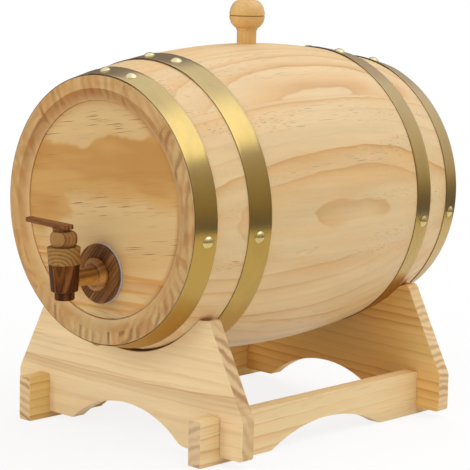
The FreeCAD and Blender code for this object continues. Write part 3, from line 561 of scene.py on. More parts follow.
# the log's middle direction, its pith across and deep, its lean across and deep, start along the
# trunk, bark side turned, warmth; the third and fourth stave share one board's figure
LOGS = [
    (0, -62, -22, 0.02, 0.02, 0, 0, 0.2), (45.5, 0, 110.5, 0.0, 0.015, 700, 1, 0.25),
    (92, 0, 110.5, 0.0, 0.015, 1400, 0, 0.0), (92, 0, 110.5, 0.0, 0.015, 1400, 0, 0.0),
    (165, 0, -30, -0.13, 0.0, 2800, 0, 0.1), (150, 40, -60, 0.03, 0.05, 3500, 0, 0.0),
    (180, 90, -16, 0.02, 0.03, 4200, 0, 0.0), (210, -50, -50, 0.03, 0.05, 4900, 0, 0.3),
    (240, 8, -44, 0.03, 0.05, 5600, 0, 0.8), (270, -30, 80, 0.0, 0.03, 6300, 1, 0.7),
    (300, 10, -40, 0.02, 0.06, 7000, 0, 0.2), (330, 64, -30, 0.03, 0.04, 7700, 0, 0.6),
]


def stave_log(choice):
    """Where a stave lay in its log: the barrel's own curve is sawn, so arches close into ovals."""
    centre, pith_across, pith_deep, lean_across, lean_deep, start = choice[:6]

    def rule(places):
        y, radius, angle = barrel_place(places)
        turn = np.radians(angle - centre)
        return vectors(y + start, radius * np.sin(turn) - pith_across - lean_across * y,
                       radius * np.cos(turn) - BILGE - pith_deep - lean_deep * y)

    return rule


def in_bevel(y, radius):
    """Where a point lies on the bevel inside the end of the barrel."""
    return (radius < FLAT - 0.2) & (np.abs(y) > HEAD_FACE - 0.01)


def stave_figure(places):
    """The rings stand out most beside the picture's two large ovals, and least low down and in the bevels."""
    y, radius, angle = barrel_place(places)
    ovals = 0.6 * bell(angle, 76, 9) + 2.0 * bell(angle, 33, 12)
    calm = bell(angle, 56, 7) + bell(angle, 108, 9, 4) + bell(angle, -8, 24, 4)
    short = bell(y, 0, 52, 6)
    tongue = short * bell(angle, 89, 5, 4)
    foot = short * unit((angle - 93.5 + 0.042 * y) / 1.5) * unit((106 - angle) / 3)
    side = np.maximum(0.1 + ovals * bell(y, 5, 75) + 2.2 * tongue - 0.55 * calm - 6 * foot, -1)
    return np.where(in_bevel(y, radius), -0.2 - 0.55 * (np.abs(angle) > 110), side)


def stave_plank(choice):
    """Bark side, warmth, and painted shade: the bevel darkened most overhead where it faces down, a painted shade line
    at its inner edge on the right, and a little finish soaked into the end's flat.
    """
    def rule(places):
        y, radius, angle = barrel_place(places)
        # painted shade in the bevel, deepest at the top and upper left; nearer the head a painted shade line on the
        # right
        depth = 0.25 + 0.60 * hill(angle + 25)
        inner = depth * (0.35 + 0.4 * hill(angle)) + 0.5 * hill(angle - 85)
        bevel = in_bevel(y, radius) * np.where(radius < 71, inner, depth)
        flat = (radius > FLAT - 0.3) & (np.abs(y) > HALF - 0.3)
        return vectors(choice[6], choice[7], bevel + flat * (0.08 + 0.20 * np.abs(np.sin(np.radians(angle)))))

    return rule


print("stave profile:", len(stave_profile), "points")


# %% Bung hole
def drill_solid(radius, low, high, middle, count=64):
    """A closed cylinder to be cut out, upright at a middle point, in millimetres."""
    points = spin(np.array([[radius, low], [radius, high]]), count) + [*middle, 0]
    return show("bung_drill", mesh_of("bung_drill", points * MM, grid_faces(2, count).tolist() + end_caps(2, count)))


BUNG_HOLE, BUNG_PLACE = 6.75, (0.0, SHIFT + 4.5)

# %% Staves
for index, choice in enumerate(LOGS):
    name = "bung_stave" if index == 0 else "stave_%02d" % (index + 1)
    y, radius = stave_profile[:, :1], stave_profile[:, 1:]
    drop = np.where(radius > outside(y, PLANK) + 3, easing, 0.0)
    points = around(y, radius - drop, across_angles + 30 * index)
    drill = drill_solid(BUNG_HOLE, AXIS + 60, AXIS + 120, BUNG_PLACE) if index == 0 else None
    surface("plank_%02d" % (index + 1), points.transpose(1, 0, 2), "barrel", "stave_pine", stave_pine, [name],
            caps=True, grain=(0, 1, 0), smooth=25.0, log=stave_log(choice), plank=stave_plank(choice),
            figure=stave_figure, drill=drill)

# %% [markdown]
# ## Brass hoops
#
# A hoop is one strip of brass bent to a ring, with its end lapped over its
# start and two nails through the lap. The strip's section, a flat bar with
# rounded edges, is carried round the barrel; near the lap the upper layer
# climbs by one thickness. Brushing runs along the strip, which shows as long
# fine streaks in the shine, under a coat of lacquer.


# %% Brass finish
def brass(name, tone, dull, roughness, streaky):
    """Brass: one metal tone with slow dull patches, long fine streaks, and tarnish.

    The cut edges are dark: tarnish, and painted shade of the gap beside them.
    Lower down a painted reflection of the saddle makes the brass warmer and
    darker, and at the bottom painted shade under the barrel makes it dark brown
    and not metallic. The lower part is rougher, and its coat thinner.
    """
    metal = Finish(name)
    x, y, z = metal.split(metal.place())
    streaks = metal.noise((x * 45, y * streaky, z * 45), 3.0, 0.65)
    patches = metal.noise((x * 40, y * 70, z * 40), 3.0, 0.6)
    colour = metal.mix(patches.step(0.42, 0.72) * 0.6, tone, dull)
    colour = metal.shaded(colour, 0.93 + streaks * 0.14)
    # the cut edges darkened: tarnish, and painted shade of the gap beside them
    edge = metal.value("cut").step(0.5, 0.9)
    colour = metal.mix(edge * 0.9, colour, (78, 54, 26))
    # painted reflection: lower down the brass is made warmer and darker, as the saddle reflects in it
    under = z.step(0.104, 0.080)
    colour = metal.mix(under, colour, metal.shaded(colour, (0.92, 0.80, 0.60, 1)))
    # painted shade: at the very bottom the brass turns dark brown and not metallic, as shade falls in the gap under the
    # barrel
    painted_gap_shade = z.step(0.068, 0.060) * 0.95
    colour = metal.mix(painted_gap_shade, colour, (70, 36, 18))
    rough = roughness + (streaks - 0.5) * 0.08 + (patches - 0.5) * 0.10 + edge * 0.3 + painted_gap_shade * 0.3
    rough = rough + z.step(0.125, 0.09) * 0.2
    return metal.finish(colour, rough, streaks, 0.00002, Metallic=1.0 - painted_gap_shade,
                        **{"Coat Weight": 1.0 - z.step(0.175, 0.13) * 0.2 - under * 0.45 - painted_gap_shade * 0.35,
                           "Coat Roughness": 0.4, "Coat IOR": 1.55, "Specular Tint": (1.0, 0.88, 0.64, 1)})


hoop_brass = brass("hoop_brass", (178, 142, 54), (164, 130, 50), 0.20, 5000)
nail_brass = brass("nail_brass", (210, 188, 118), (176, 152, 90), 0.24, 400)

HOOP, GAP, LAP = 0.5, 0.1, 26.0
CHIME = (HALF - 0.5, 15.9)
QUARTER = (HALF - 39.9, 17.6)
# name, side, (outer edge's y, width), lap's middle, its two nails, the side nail and its shift
HOOPS = [
    ("front_chime", -1, CHIME, 6.0, (-2.6, 13.0), 96.8, 2.0),
    ("front_quarter", -1, QUARTER, 6.0, (-3.2, 11.6), 96.0, 0.0),
    ("rear_quarter", 1, QUARTER, 3.1, (-7.0, 10.3), 99.3, 1.6),
    ("rear_chime", 1, CHIME, 3.1, (-7.0, 9.6), 98.5, 0.0),
]


# %% Hoops
def strip_section(width, edge=0.2):
    """A flat bar's outline: width along the barrel, thickness outwards, edges rounded."""
    turn = np.linspace(0, np.pi / 2, 4)
    flat = np.linspace(edge - width / 2, width / 2 - edge, 9)[4:]
    side = vectors(flat[-1] + edge * np.sin(turn), edge - edge * np.cos(turn))
    side_up = vectors(flat[-1] + edge * np.cos(turn), HOOP - edge + edge * np.sin(turn))
    half = np.concatenate([vectors(flat, 0.0), side[1:], side_up, vectors(flat[::-1][1:], HOOP)])
    return np.concatenate([half, half[::-1][1:-1] * [-1, 1]])


def seat_line(side, seat):
    """Where a strip lies: the y and the radius of its middle, and the radius's change along y."""
    outer_y, width = seat
    y_edge = np.array([side * outer_y, side * (outer_y - width)])
    r_edge = outside(y_edge) + GAP
    return y_edge.mean(), r_edge.mean(), (r_edge[1] - r_edge[0]) / (y_edge[1] - y_edge[0])


def hoop(name, side, seat, lap):
    """A strip round the barrel, one turn and a lap long; it goes back over its own start."""
    y, radius, lean = seat_line(side, seat)
    across, thick = strip_section(seat[1]).T
    turn = np.concatenate([np.linspace(0, 14, 15), np.linspace(15, 345, 221), np.linspace(346, 360 + LAP, 81)])
    climb = unit((turn - 345.0) / 14.5)
    climb = (climb * climb * (3 - 2 * climb)) * (HOOP + 0.02)
    points = around(y + across, radius + lean * across + thick + climb[:, None], lap + LAP / 2 - turn[:, None])
    return surface(name + "_band", points, "barrel", "hoop_brass", hoop_brass, [name + "_hoop"], caps=True,
                   smooth=50.0, grain=(0, 1, 0))


for name, side, seat, lap, *_ in HOOPS:
    hoop(name, side, seat, lap)

# %% [markdown]
# ## Nails
#
# Five domed brass nails hold each hoop, two of them through the lap. A nail is
# a profile spun round its own axis, which leans with the strip under it. The
# dome is an arc, with a narrow flat rim where the head was pressed down.


# %% Nails
def nail_places(side, seat, lap, pair, side_nail, shift):
    """Frames (origin, matrix) of one hoop's five nails, in millimetres in the frame's axes."""
    y, radius, lean = seat_line(side, seat)
    slope = math.atan(lean)
    lengthways = np.array([0.0, 1.0, 0.0])
    places = []
    for angle, along, layers in ((pair[0], 0, 2), (pair[1], 0, 2), (side_nail, shift, 1),
                                 (lap + 180, 0, 1), (lap + 270, 0, 1)):
        turn = math.radians(angle)
        outwards = np.array([math.sin(turn), 0.0, math.cos(turn)])
        tilted_out = outwards * math.cos(slope) - lengthways * math.sin(slope)
        tilted_along = outwards * math.sin(slope) + lengthways * math.cos(slope)
        middle = outwards * (radius + layers * HOOP) + lengthways * (y + SHIFT)
        middle = middle + tilted_along * along + np.array([0, 0, AXIS])
        places.append((middle, np.column_stack([np.cross(tilted_along, tilted_out), tilted_along, tilted_out])))
    return places


NAIL, NAIL_RISE = 3.9, 2.0
dome = (NAIL ** 2 + NAIL_RISE ** 2) / (2 * NAIL_RISE)
dome_angle = np.linspace(0, math.asin(NAIL / dome) * 0.97, 12)
nail_profile = np.concatenate([
    vectors(dome * np.sin(dome_angle), NAIL_RISE - dome + dome * np.cos(dome_angle)),
    [[NAIL, 0.06], [3.86, -0.02], [1.1, -0.02], [1.1, -6.8], [0, -9.0]]])
spun = spin(nail_profile, 36)
rows, columns = spun.shape[:2]
for name, *places in HOOPS:
    nails = np.stack([spun @ axes.T + middle for middle, axes in nail_places(*places)])
    faces = grid_faces(rows, columns) + rows * columns * np.arange(len(nails))[:, None, None]
    mesh = mesh_of(name + "_studs", nails * MM, faces.reshape(-1, 4).tolist())
    piece(name + "_studs", mesh, "barrel", "nail_brass", nail_brass, [name + "_nails"])

# %% [markdown]
# ## The heads
#
# A head is a disc of pine whose thinned rim sits in the staves' groove. Its
# grain runs almost level. The front one shows a honey coloured streak of heart
# wood across its upper half, so the head's finish adds that streak to the
# pine: a band whose two edges wander. The face is broken by a fine bevel just
# inside the staves, which draws the dark line round the head; painted shade
# deepens that line on the right, and a painted shadow lies under the chime at
# the top left.


# %% Head finish
def heart_streak(wood, colour):
    """Lay the streak of heart wood over the pine: a band between two wandering edges, in millimetres.

    A few stripes of a like colour lie near the foot.
    """
    across, _, height = wood.split(wood.place())
    across, height = across * 1000, height * 1000 - AXIS
    wave = wood.noise((across * 0.045, 4.0, height * 0.015))
    jog = wood.noise((across * 0.03, 7.0, height * 0.06))
    dip = (across + 22) / 10
    dip = (dip * dip * -1.0).maths("EXPONENT") * 6
    top = height + dip - across * 0.11 + (wave - 0.5) * 16
    low = height + (across + (jog - 0.5) * 50).step(-18, -50) * 27 - (wave - 0.5) * 14
    band = top.step(47.5, 44) * low.step(2, 15)
    tone = wood.noise((across * 0.012, 9.0, height * 0.05))
    honey = wood.mix(tone.step(0.40, 0.62), (204, 154, 82), (188, 132, 60))
    stripes = wood.noise((across * 0.010, 2.0, (height - across * 0.03) * 0.26), 1.0)
    foot = stripes.step(0.48, 0.62) * (height + across * 0.1).step(-22, -34) * 0.8
    colour = wood.mix(foot, colour, (204, 144, 66))
    return wood.mix(band * 0.85, colour, honey)


HEAD_TONES = ((216, 181, 124), (206, 140, 66), (164, 104, 50), (210, 168, 108))
front_wood = pine("front_head_pine", *HEAD_TONES, ring=12.5, contrast=0.85, sheen=0.40, dashes=2.2, wander=4.0,
                  extra=heart_streak)
rear_wood = pine("rear_head_pine", *HEAD_TONES, ring=9.0, contrast=0.7, sheen=0.40, wander=6.0)


# %% Heads
def head(name, side, material, tilt, pith, start):
    """A disc with a rim bevel, spun about the barrel's axis; its grain lies across it at a tilt.

    tilt is (degrees in the upper part, degrees at the foot): the trunk bent a little.
    """
    face = [(r, 0) for r in np.linspace(0, 69.3, 22)]
    profile = np.array(face + [(69.75, -0.12), (70.35, -0.75), (76.9, -0.8), (76.9, CROZE_BACK + 0.1 - HEAD_FACE),
                               (72.7, CROZE_BACK + 0.1 - HEAD_FACE), (66.0, -10), (0.0, -10)])
    angle = np.linspace(0, 360, 180, endpoint=False)
    shut = 0.08 + 0.92 * unit(0.5 + 0.8 * np.cos(np.radians(angle - 120)))
    depth = profile[:, 1:] * np.where((profile[:, 1:] < -0.1) & (profile[:, 1:] > -0.9), shut, 1.0)
    points = around(side * (HEAD_FACE + depth), profile[:, :1], angle)

    def log(places):
        x, y, z = places.T
        z = z - AXIS
        blend = unit((z + 62) / 50)
        turn = np.radians(tilt[1] + (tilt[0] - tilt[1]) * blend * blend * (3 - 2 * blend))
        along, across = x * np.cos(turn) + z * np.sin(turn), -x * np.sin(turn) + z * np.cos(turn)
        return vectors(along + start, across - pith[0], (y - SHIFT) * side - HEAD_FACE - pith[1])

    def plank(places):
        y, radius, turned = barrel_place(places)
        # painted shadow under the chime at the top left, and a painted shade line along the rim on the right
        rim = 0.45 * unit((radius - 62) / 8) ** 2 * hill(turned + 20)
        seam_shade = 0.75 * unit((radius - 66.5) / 3) ** 2 * hill(turned - 85, 1.3)
        return vectors(0, 0, np.maximum(rim, seam_shade))

    def figure(places):
        return 2.2 * unit((-24 - (places[:, 2] - AXIS)) / 8) - 0.5

    return surface(name + "_disc", points, "barrel", "head_pine", material, [name], smooth=25.0, log=log, plank=plank,
                   figure=figure)


head("front_head", -1, front_wood, (9.0, -5.0), (-150, -30), 9100)
head("rear_head", 1, rear_wood, (-4.0, -4.0), (20, -60), 9800)

# %% [markdown]
# ## The bung
#
# The stopper on top is turned from one piece of pine: a tapered plug, a neck
# that ends in a small bead, and a knob with a fine groove and a low nub. It is
# a profile spun about the vertical, with its corners softened as sandpaper
# leaves them. The groove is darkened with painted shade.

# %% Bung
bung_pine = pine("bung_pine", (228, 188, 120), (216, 162, 90), (188, 134, 74), (218, 172, 102), ring=4.0,
                 contrast=0.5, sheen=0.20, dashes=0.0, wander=1.0, sawn=((224, 180, 116), (204, 154, 92)))
knob = 9.2
groove_low, groove_high = knob + 9.2, knob + 10.0
bung_profile = np.concatenate([
    [(0.0, -17.0)], softened([(5.3, -17.0), (5.6, -17.0), (6.6, -15.0), (6.6, knob - 0.6)], 0.5, 3),
    [(6.75, knob - 0.2), (7.1, knob), (7.3, knob + 0.25), (7.2, knob + 0.6)],
    arc((7.1, knob + 0.9), (12.0, groove_low), 10.3),
    [(11.75, groove_low + 0.12), (11.4, groove_low + 0.4), (11.75, groove_high - 0.12)],
    arc((12.0, groove_high), (10.0, knob + 17.2), 14.4), arc((10.0, knob + 17.2), (5.0, knob + 20.2), 7.2)[1:],
    [(5.05, knob + 20.5)], softened([(5.0, knob + 20.6), (5.0, knob + 21.6), (2.0, knob + 21.6)], 0.8, 4),
    [(0.0, knob + 21.6)]])
bung_points = spin(bung_profile, 72) + np.array([*BUNG_PLACE, AXIS + BILGE])


def painted_groove_shade(places):
    """Painted shade: the turned groove is darkened as if shadowed."""
    height = places[:, 2] - AXIS - BILGE - (groove_low + groove_high) / 2
    return vectors(0, 0, 0.9 * (np.abs(height) < 0.35))


surface("bung_turning", bung_points * MM, "stopper", "bung_pine", bung_pine, ["bung"],
        log=lambda p: p[:, [2, 0, 1]] + [10500, -9, -SHIFT - 20], grain=(0, 0, 1), plank=painted_groove_shade)

# %% [markdown]
# ## The tap's wood
#
# The tap is turned from a dark, striped hardwood. Its stripes are growth
# layers too, only narrow and strongly coloured, so the same idea works with
# other numbers. Short dark pores run along the grain.


# %% Hardwood finish
def hardwood(name, dark, middle, pale, ring=1.9, sap=None, sheen=0.40, amount=0.62, gloss=0.12):
    """Striped hardwood: stripes from the distance to the pith, pushed about by noise, and pores.

    sap is (height, pale, dark) where the wood above a height in the log's x is pale sap wood,
    with its own even rings that arch over the boundary; amount is how much of the wood is dark.
    """
    wood = Wood(name)
    along, across, deep = wood.log
    bend = wood.grain(0.018, 0.12)
    distance = ((across + 14) * (across + 14) + (deep - 16) * (deep - 16)) ** 0.5 + (bend - 0.5) * 4.0
    stripes = wood.noise((distance / ring, along * 0.01, 0.5), 2.0, 0.7)
    fine = wood.grain(0.10, 2.6, 3.0, 0.6)
    colour = wood.mix(stripes.step(amount - 0.26, amount), dark, middle)
    colour = wood.mix(stripes.step(amount - 0.04, amount + 0.10), colour, pale)
    if sap:
        limit, sap_pale, sap_dark = sap
        sideways = across * 0.725 + deep * 0.688 + 3.0
        rings = (sideways * sideways + (along - 8) * (along - 8)) ** 0.5 / 1.15 + (bend - 0.5) * 1.0
        blond = wood.mix(rings.maths("PINGPONG", 1.0) ** 2.0, sap_pale, sap_dark)
        colour = wood.mix((along + (bend - 0.5) * 0.8).step(limit - 0.2, limit + 0.2), colour, blond)
    colour = wood.shaded(colour, 0.82 + fine * 0.36)
    pores = wood.grain(0.30, 4.0, 0.0).step(0.68, 0.76)
    colour = wood.mix(pores * 0.7, colour, (36, 16, 6))
    return wood.finish(colour, sheen + fine * 0.16, fine * 0.4 - pores, 0.00005, **{"Specular IOR Level": gloss})


body_wood = hardwood("tap_body_hardwood", (60, 27, 5), (120, 66, 18), (140, 88, 38), ring=1.3,
                     sap=(10.8, (166, 124, 66), (122, 82, 36)))
disc_wood = hardwood("tap_disc_hardwood", (70, 40, 18), (134, 86, 42), (162, 110, 58), ring=1.7, amount=0.55)
stem_wood = hardwood("stem_hardwood", (112, 66, 22), (170, 112, 42), (200, 140, 62), ring=3.2, amount=0.5, sheen=0.26,
                     gloss=0.3)
key_wood = hardwood("key_hardwood", (84, 48, 20), (140, 96, 48), (164, 120, 68), ring=1.5, amount=0.46)
lever_wood = hardwood("lever_hardwood", (72, 38, 16), (130, 82, 42), (164, 112, 66), ring=1.2, amount=0.54)
print("materials so far:", len(bpy.data.materials))

# %% [markdown]
# ## The tap
#
# The tap's pieces share one frame. It stands 40.7 mm under the barrel's axis
# on the head, leans down by 1.8 degrees with its stem, and its own upright
# axis, on which the key turns, is 32 mm out. Each piece is a profile spun
# about that upright axis or about the stem.

# %% Tap frame
DROOP = math.radians(1.8)
TAP_TURN = np.array([[1, 0, 0], [0, math.cos(DROOP), -math.sin(DROOP)], [0, math.sin(DROOP), math.cos(DROOP)]])
TAP_DROP, TAP_REACH = 40.7, 32.0
TAP_FOOT = np.array([0.0, SHIFT - HEAD_FACE, AXIS - TAP_DROP])
KEY_AXIS = np.array([0, TAP_REACH, 0])


def tap_place(points):
    """Tap places in millimetres, z up its key's axis and y towards the barrel, to metres in the frame's axes."""
    return ((points - KEY_AXIS) @ TAP_TURN.T + TAP_FOOT) * MM


def spin_stem(profile, count):
    """A profile of (y, radius) spun about the stem's axis, y."""
    y, r = profile[:, :1], profile[:, 1:]
    return vectors(r * np.sin(circle(count)), y, r * np.cos(circle(count)))


def tap_log(grain, pith, start=0):
    """A rule from places to log places: grain is the tap's axis along the trunk, pith its (across, deep) middle."""
    order = {"x": [0, 1, 2], "y": [1, 0, 2], "z": [2, 0, 1]}[grain]

    def rule(places):
        here = (places - TAP_FOOT) @ TAP_TURN + KEY_AXIS
        return here[:, order] - np.array([-start, *pith])

    return rule


# %% Disc, washer and stem
def flat_disc(name, node, slot, material, back, front, radius, edge, log=None):
    """A disc flat on the head: out along the back, round the rim, in along the front."""
    rim = softened([(-back, 10.0), (-back, radius), (-front, radius), (-front, 10.0)], edge, 5)
    profile = np.concatenate([[(-back, 8.1)], rim, [(-front, 8.1)]])
    return surface(name, (spin_stem(profile, 96) + TAP_FOOT) * MM, "barrel", slot, material, [node], closed=True,
                   log=log)


def disc_log(places):
    """The disc's grain climbs steeply from lower left to upper right; its pith lies behind it."""
    x, y, z = (places - TAP_FOOT).T
    turn = math.radians(50)
    return vectors(x * math.cos(turn) + z * math.sin(turn) + 300, -x * math.sin(turn) + z * math.cos(turn) + 30, y - 12)


rubber = Finish("washer_rubber")
grit = rubber.noise(rubber.place(), scale=900.0)
washer_rubber = rubber.finish(rubber.mix(grit, (176, 178, 180), (198, 198, 200)), 0.6 + grit * 0.1)
WASHER, DISC, COLLAR = 1.2, 4.0, 10.7
flat_disc("tap_washer", "tap_gasket", "washer_rubber", washer_rubber, 0.0, WASHER, 19.6, 0.3)
flat_disc("tap_disc", "tap_rosette", "tap_hardwood", disc_wood, WASHER, DISC, 19.4, 1.3, disc_log)
collar_back = TAP_REACH - DISC - 0.06 - COLLAR * math.tan(DROOP)
collar_front = collar_back - 4.4
stem_profile = np.concatenate([
    [(7.7, 2.6), (50.0, 2.6), (50.0, 8.0), (collar_back, 8.0)],
    softened([(collar_back, 9.0), (collar_back, COLLAR), (collar_back - 2.0, COLLAR)], 0.5, 3),
    arc((collar_back - 2.0, COLLAR), (collar_front, 7.7), 4.4, -1, 10)[1:],
    softened([(collar_front, 7.7), (collar_front, 5.7), (7.7, 5.7)], 0.9, 4)[1:]])
surface("tap_stem_turning", tap_place(spin_stem(stem_profile, 72)), "barrel", "stem_hardwood", stem_wood,
        ["tap_stem"], closed=True, log=tap_log("y", (9, 7)))

# %% Tap body, key and sleeve
body_profile = np.concatenate([
    [(2.4, -4.3), (2.4, -12.3)],
    softened([(4.0, -12.3), (6.4, -12.3), (6.4, -6.8), (8.7, -6.8), (10.7, 21.6), (7.45, 21.6)], 0.9, 5)[1:],
    [(6.25, -4.3)]])
surface("tap_body_turning", tap_place(spin(body_profile, 96)), "barrel", "tap_hardwood", body_wood, ["tap_body"],
        closed=True, log=tap_log("z", (0, 0)))

key_profile = np.concatenate([
    [(0.0, -3.8), (5.0, -3.8), (6.16, 21.6), (6.16, 22.0)],
    softened([(6.4, 22.0), (7.2, 22.0), (8.55, 24.0), (8.75, 26.7), (8.5, 29.4), (6.7, 31.4), (2.6, 31.4)], 1.6, 5),
    [(2.4, 31.4), (2.4, 35.5), (0.0, 35.5)]])
surface("tap_key_turning", tap_place(spin(key_profile, 80)), "key", "key_hardwood", key_wood, ["tap_key"],
        log=tap_log("x", (-12, 14)))

cork = Finish("cork")
speck = cork.noise(cork.place(), 3.0, 0.6, 1500.0)
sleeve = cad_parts["key_sleeve"]
sleeve.data.materials.clear()
sleeve.data.materials.append(cork.finish(cork.mix(speck.step(0.45, 0.6), (176, 134, 90), (120, 82, 50)),
                                         0.8 + speck * 0.1, speck, 0.0002))

# %% [markdown]
# ## Boards
#
# The cradle and the tap's lever are boards: an outline with a thickness and
# slightly rounded edges. The outline is offset inwards along a quarter circle
# at both faces, so the edge catches the light as a sanded edge does.


# %% Board helper
def board_grid(outline, thickness, edge, steps=4):
    """Rows of (a, b, depth): the closed outline, anticlockwise, inset at both faces to round the edge."""
    before = outline - np.roll(outline, 1, axis=0)
    after = np.roll(outline, -1, axis=0) - outline
    normals = [way[:, ::-1] * [1, -1] / np.linalg.norm(way, axis=1, keepdims=True) for way in (before, after)]
    turn_cos = (normals[0] * normals[1]).sum(axis=1, keepdims=True)
    mitre = (normals[0] + normals[1]) / np.maximum(1 + turn_cos, 0.4)
    quarter = np.linspace(0, np.pi / 2, steps + 1)
    inset = 1 - np.sin(quarter)
    depth = -thickness / 2 + edge * (1 - np.cos(quarter))
    inset, depth = np.concatenate([inset, inset[::-1]]), np.concatenate([depth, -depth[::-1]])
    a, b = np.moveaxis(outline[None] - mitre[None] * (inset * edge)[:, None, None], -1, 0)
    return vectors(a, b, depth[:, None])


# %% [markdown]
# ## The lever
#
# The tap opens with a flat lever on the key's top. Its board tapers to the
# tip, and a round foot joins it to the key's grip.

# %% Lever
RISE = math.radians(1.8)
lever_plan = softened([(0, -3.95), (5.8, -4.3), (5.8, 4.3), (-33.7, 3.2), (-33.7, -3.2), (0, -3.95)], 2.2, 6)[:-1]
along, across, thick = np.moveaxis(board_grid(lever_plan, 2.9, 0.7), -1, 0)
lever_points = vectors(along * math.cos(RISE) + thick * math.sin(RISE), across,
                       -along * math.sin(RISE) + thick * math.cos(RISE) + 34.5)
surface("lever_slat", tap_place(lever_points), "key", "key_hardwood", lever_wood, ["tap_lever"], caps=True,
        log=tap_log("x", (-6, 22), 100), smooth=25.0, weighted=True)
foot_profile = np.array([(0.0, 31.45), (5.3, 31.45), (5.6, 31.7), (5.55, 32.9), (5.9, 33.6), (0.0, 33.6)])
surface("lever_foot", tap_place(spin(foot_profile, 48) + [-2.0, 0, 0]), "key", "key_hardwood", lever_wood, [],
        log=tap_log("x", (-6, 22), 100))

# %% [markdown]
# ## The cradle
#
# Two saddle boards stand across, with an arch between their feet, leaning
# sides, and a hollow for the barrel. Two stretchers run lengthways through
# notches cut from below, so the whole cradle stands on the stretchers. The
# horns' inner corners are cut to the barrel's own curve, which is done here by
# pushing every point inside that curve out to it. The hollow is darkened with
# painted shade, where the barrel shades it. The front board shows a band of
# narrow years, and the rear one has painted warm shade in its middle, as the
# barrel's shadow and warm bounced light fall there.

# %% Cradle numbers
FACE = HALF - 26.2
BOARD, STRETCHER_HEIGHT, STRETCHER_MIDDLE = 10.4, 30.2, 80.8
HORN = float(outside(FACE)) - 0.95
MOUTH = HORN * math.sin(math.radians(45.5))
TOP = AXIS - HORN * math.cos(math.radians(45.5))
HOLLOW = AXIS - float(outside(FACE)) - 2.1
FOOT, ARCH = 4.7, 51.2


def cradle_board(name, points, material, grain, **rules):
    """One board of the cradle, handed over with its rules."""
    return surface(name + "_board", points * MM, "stand", "stand_pine", material, [name], caps=True, grain=grain,
                   smooth=35.0, weighted=True, **rules)


print("the horns end at", round(MOUTH, 2), "out and", round(TOP, 2), "up")


# %% Saddle boards
def saddle_outline(eased):
    """Anticlockwise from the +X end of the foot arch; eased rounds over that arch's +X end."""
    right_foot = [(75.6, FOOT, 0), (75.6, STRETCHER_HEIGHT, 0), (86.0, STRETCHER_HEIGHT, 0), (86.0, FOOT, 0),
                  (106.0, FOOT, 3.0), (106.0, 30.5, 1.0), (MOUTH + 10.3, TOP, 2.4), (MOUTH, TOP, 0.8)]
    left_foot = [(-x, z, f) for x, z, f in reversed(right_foot)] + [(-ARCH, FOOT, 0.8)]
    hollow = circle_arc((MOUTH, TOP), (-MOUTH, TOP), TOP - HOLLOW, 61)
    arch = circle_arc((-ARCH, FOOT), (ARCH, FOOT), 19.5, 49)
    last, ease = (-5, 5.0) if eased else (-2, 0.8)
    right_foot = [(*arch[last], 0.0), (ARCH, FOOT, ease)] + right_foot
    right_side = softened(right_foot + [(*hollow[1], 0.0)], 1.0, 5)
    left_side = softened([(*hollow[-2], 0.0)] + left_foot + [(*arch[1], 0.0)], 1.0, 5)
    return np.concatenate([right_side, hollow[2:-2], left_side, arch[2:last]])


def saddle(name, side, eased, material, tilt, pith, start):
    """One saddle board; tilt is the grain's fall towards +X, pith where the log's middle was."""
    x, z, depth = np.moveaxis(board_grid(saddle_outline(eased), BOARD, 0.55), -1, 0)
    middle = side * (FACE - BOARD / 2)
    y = depth + middle
    push = np.maximum(1.0, (outside(y) + 0.3) / np.hypot(x, z - AXIS))
    cos, sin = math.cos(math.radians(tilt)), math.sin(math.radians(tilt))

    def log(places):
        x, y, z = (places - [0, 0, 45]).T
        return vectors(x * cos - z * sin + start, x * sin + z * cos - pith[0], y - SHIFT - middle - pith[1])

    def plank(places):
        y, radius, _ = barrel_place(places)
        # painted shade: the hollow under the barrel is darkened
        return vectors(0, 0, 1.0 * ((radius < outside(y) + 3) & (np.abs(y - middle) < BOARD / 2 - 0.2)))

    return cradle_board(name, vectors(x * push, y + SHIFT, AXIS + (z - AXIS) * push), material, (1, 0, 0), log=log,
                        plank=plank)


def slow_years(wood, colour):
    """A dark band of narrow rings across the board, between two almost level lines, in millimetres."""
    across, _, height = wood.split(wood.place())
    across, height = across * 1000, height * 1000
    wave = wood.noise((across * 0.02, 3.0, height * 0.02), 1.0)
    square = across * across
    high = across * 0.018 + square * 0.00035 + 40.2
    low = across * -0.008 + square * 0.0002 + 33.1
    place = (height + (wave - 0.5) * 2 - low) / (high - low)
    inside = place.step(-0.04, 0.06) * place.step(1.06, 0.96)
    fine = wood.noise((across * 0.004, place * 3.2, 1.5), 1.0).step(0.40, 0.62)
    edges = place.maths("PINGPONG", 0.5).step(0.12, 0.0)
    faint = wood.noise((across * 0.003, height * 0.16, 6.0), 1.0).step(0.52, 0.66)
    return wood.mix(inside * (0.12 + fine * 0.22 + edges * 0.26) + faint * 0.14, colour, (186, 136, 82))


def painted_warm_shade(wood, colour):
    """Painted shade: the middle of the board, under the barrel, made darker and warmer as if by its shadow and warm
    bounced light, with a wandering edge.
    """
    across, _, height = wood.split(wood.place())
    wave = wood.noise((across * 10, 5.0, height * 60), 1.0)
    heart = (across.maths("ABSOLUTE") * 1000 + (wave - 0.5) * 20).step(92, 60)
    return wood.mix(heart, colour, wood.shaded(colour, (1.0, 0.90, 0.74, 1)))


front_pine = pine("front_saddle_pine", (241, 213, 164), (222, 178, 122), (190, 142, 92), (234, 200, 150), ring=4.4,
                  contrast=0.6, wander=1.0, calm=0.56, end_ring=1.7, dashes=0.5,
                  sawn=((226, 192, 140), (166, 116, 70)), extra=slow_years)
rear_pine = pine("rear_saddle_pine", (247, 208, 134), (220, 158, 82), (200, 138, 74), (242, 194, 116), ring=6.0,
                 contrast=1.0, wander=2.0, calm=0.36, end_ring=0.72, dashes=0.5,
                 sawn=((236, 204, 154), (194, 154, 108)), extra=painted_warm_shade)
saddle("front_saddle", -1, True, front_pine, -1.5, (-100, -118), 12600)
saddle("rear_saddle", 1, False, rear_pine, 1.5, (-130, -12), 13300)


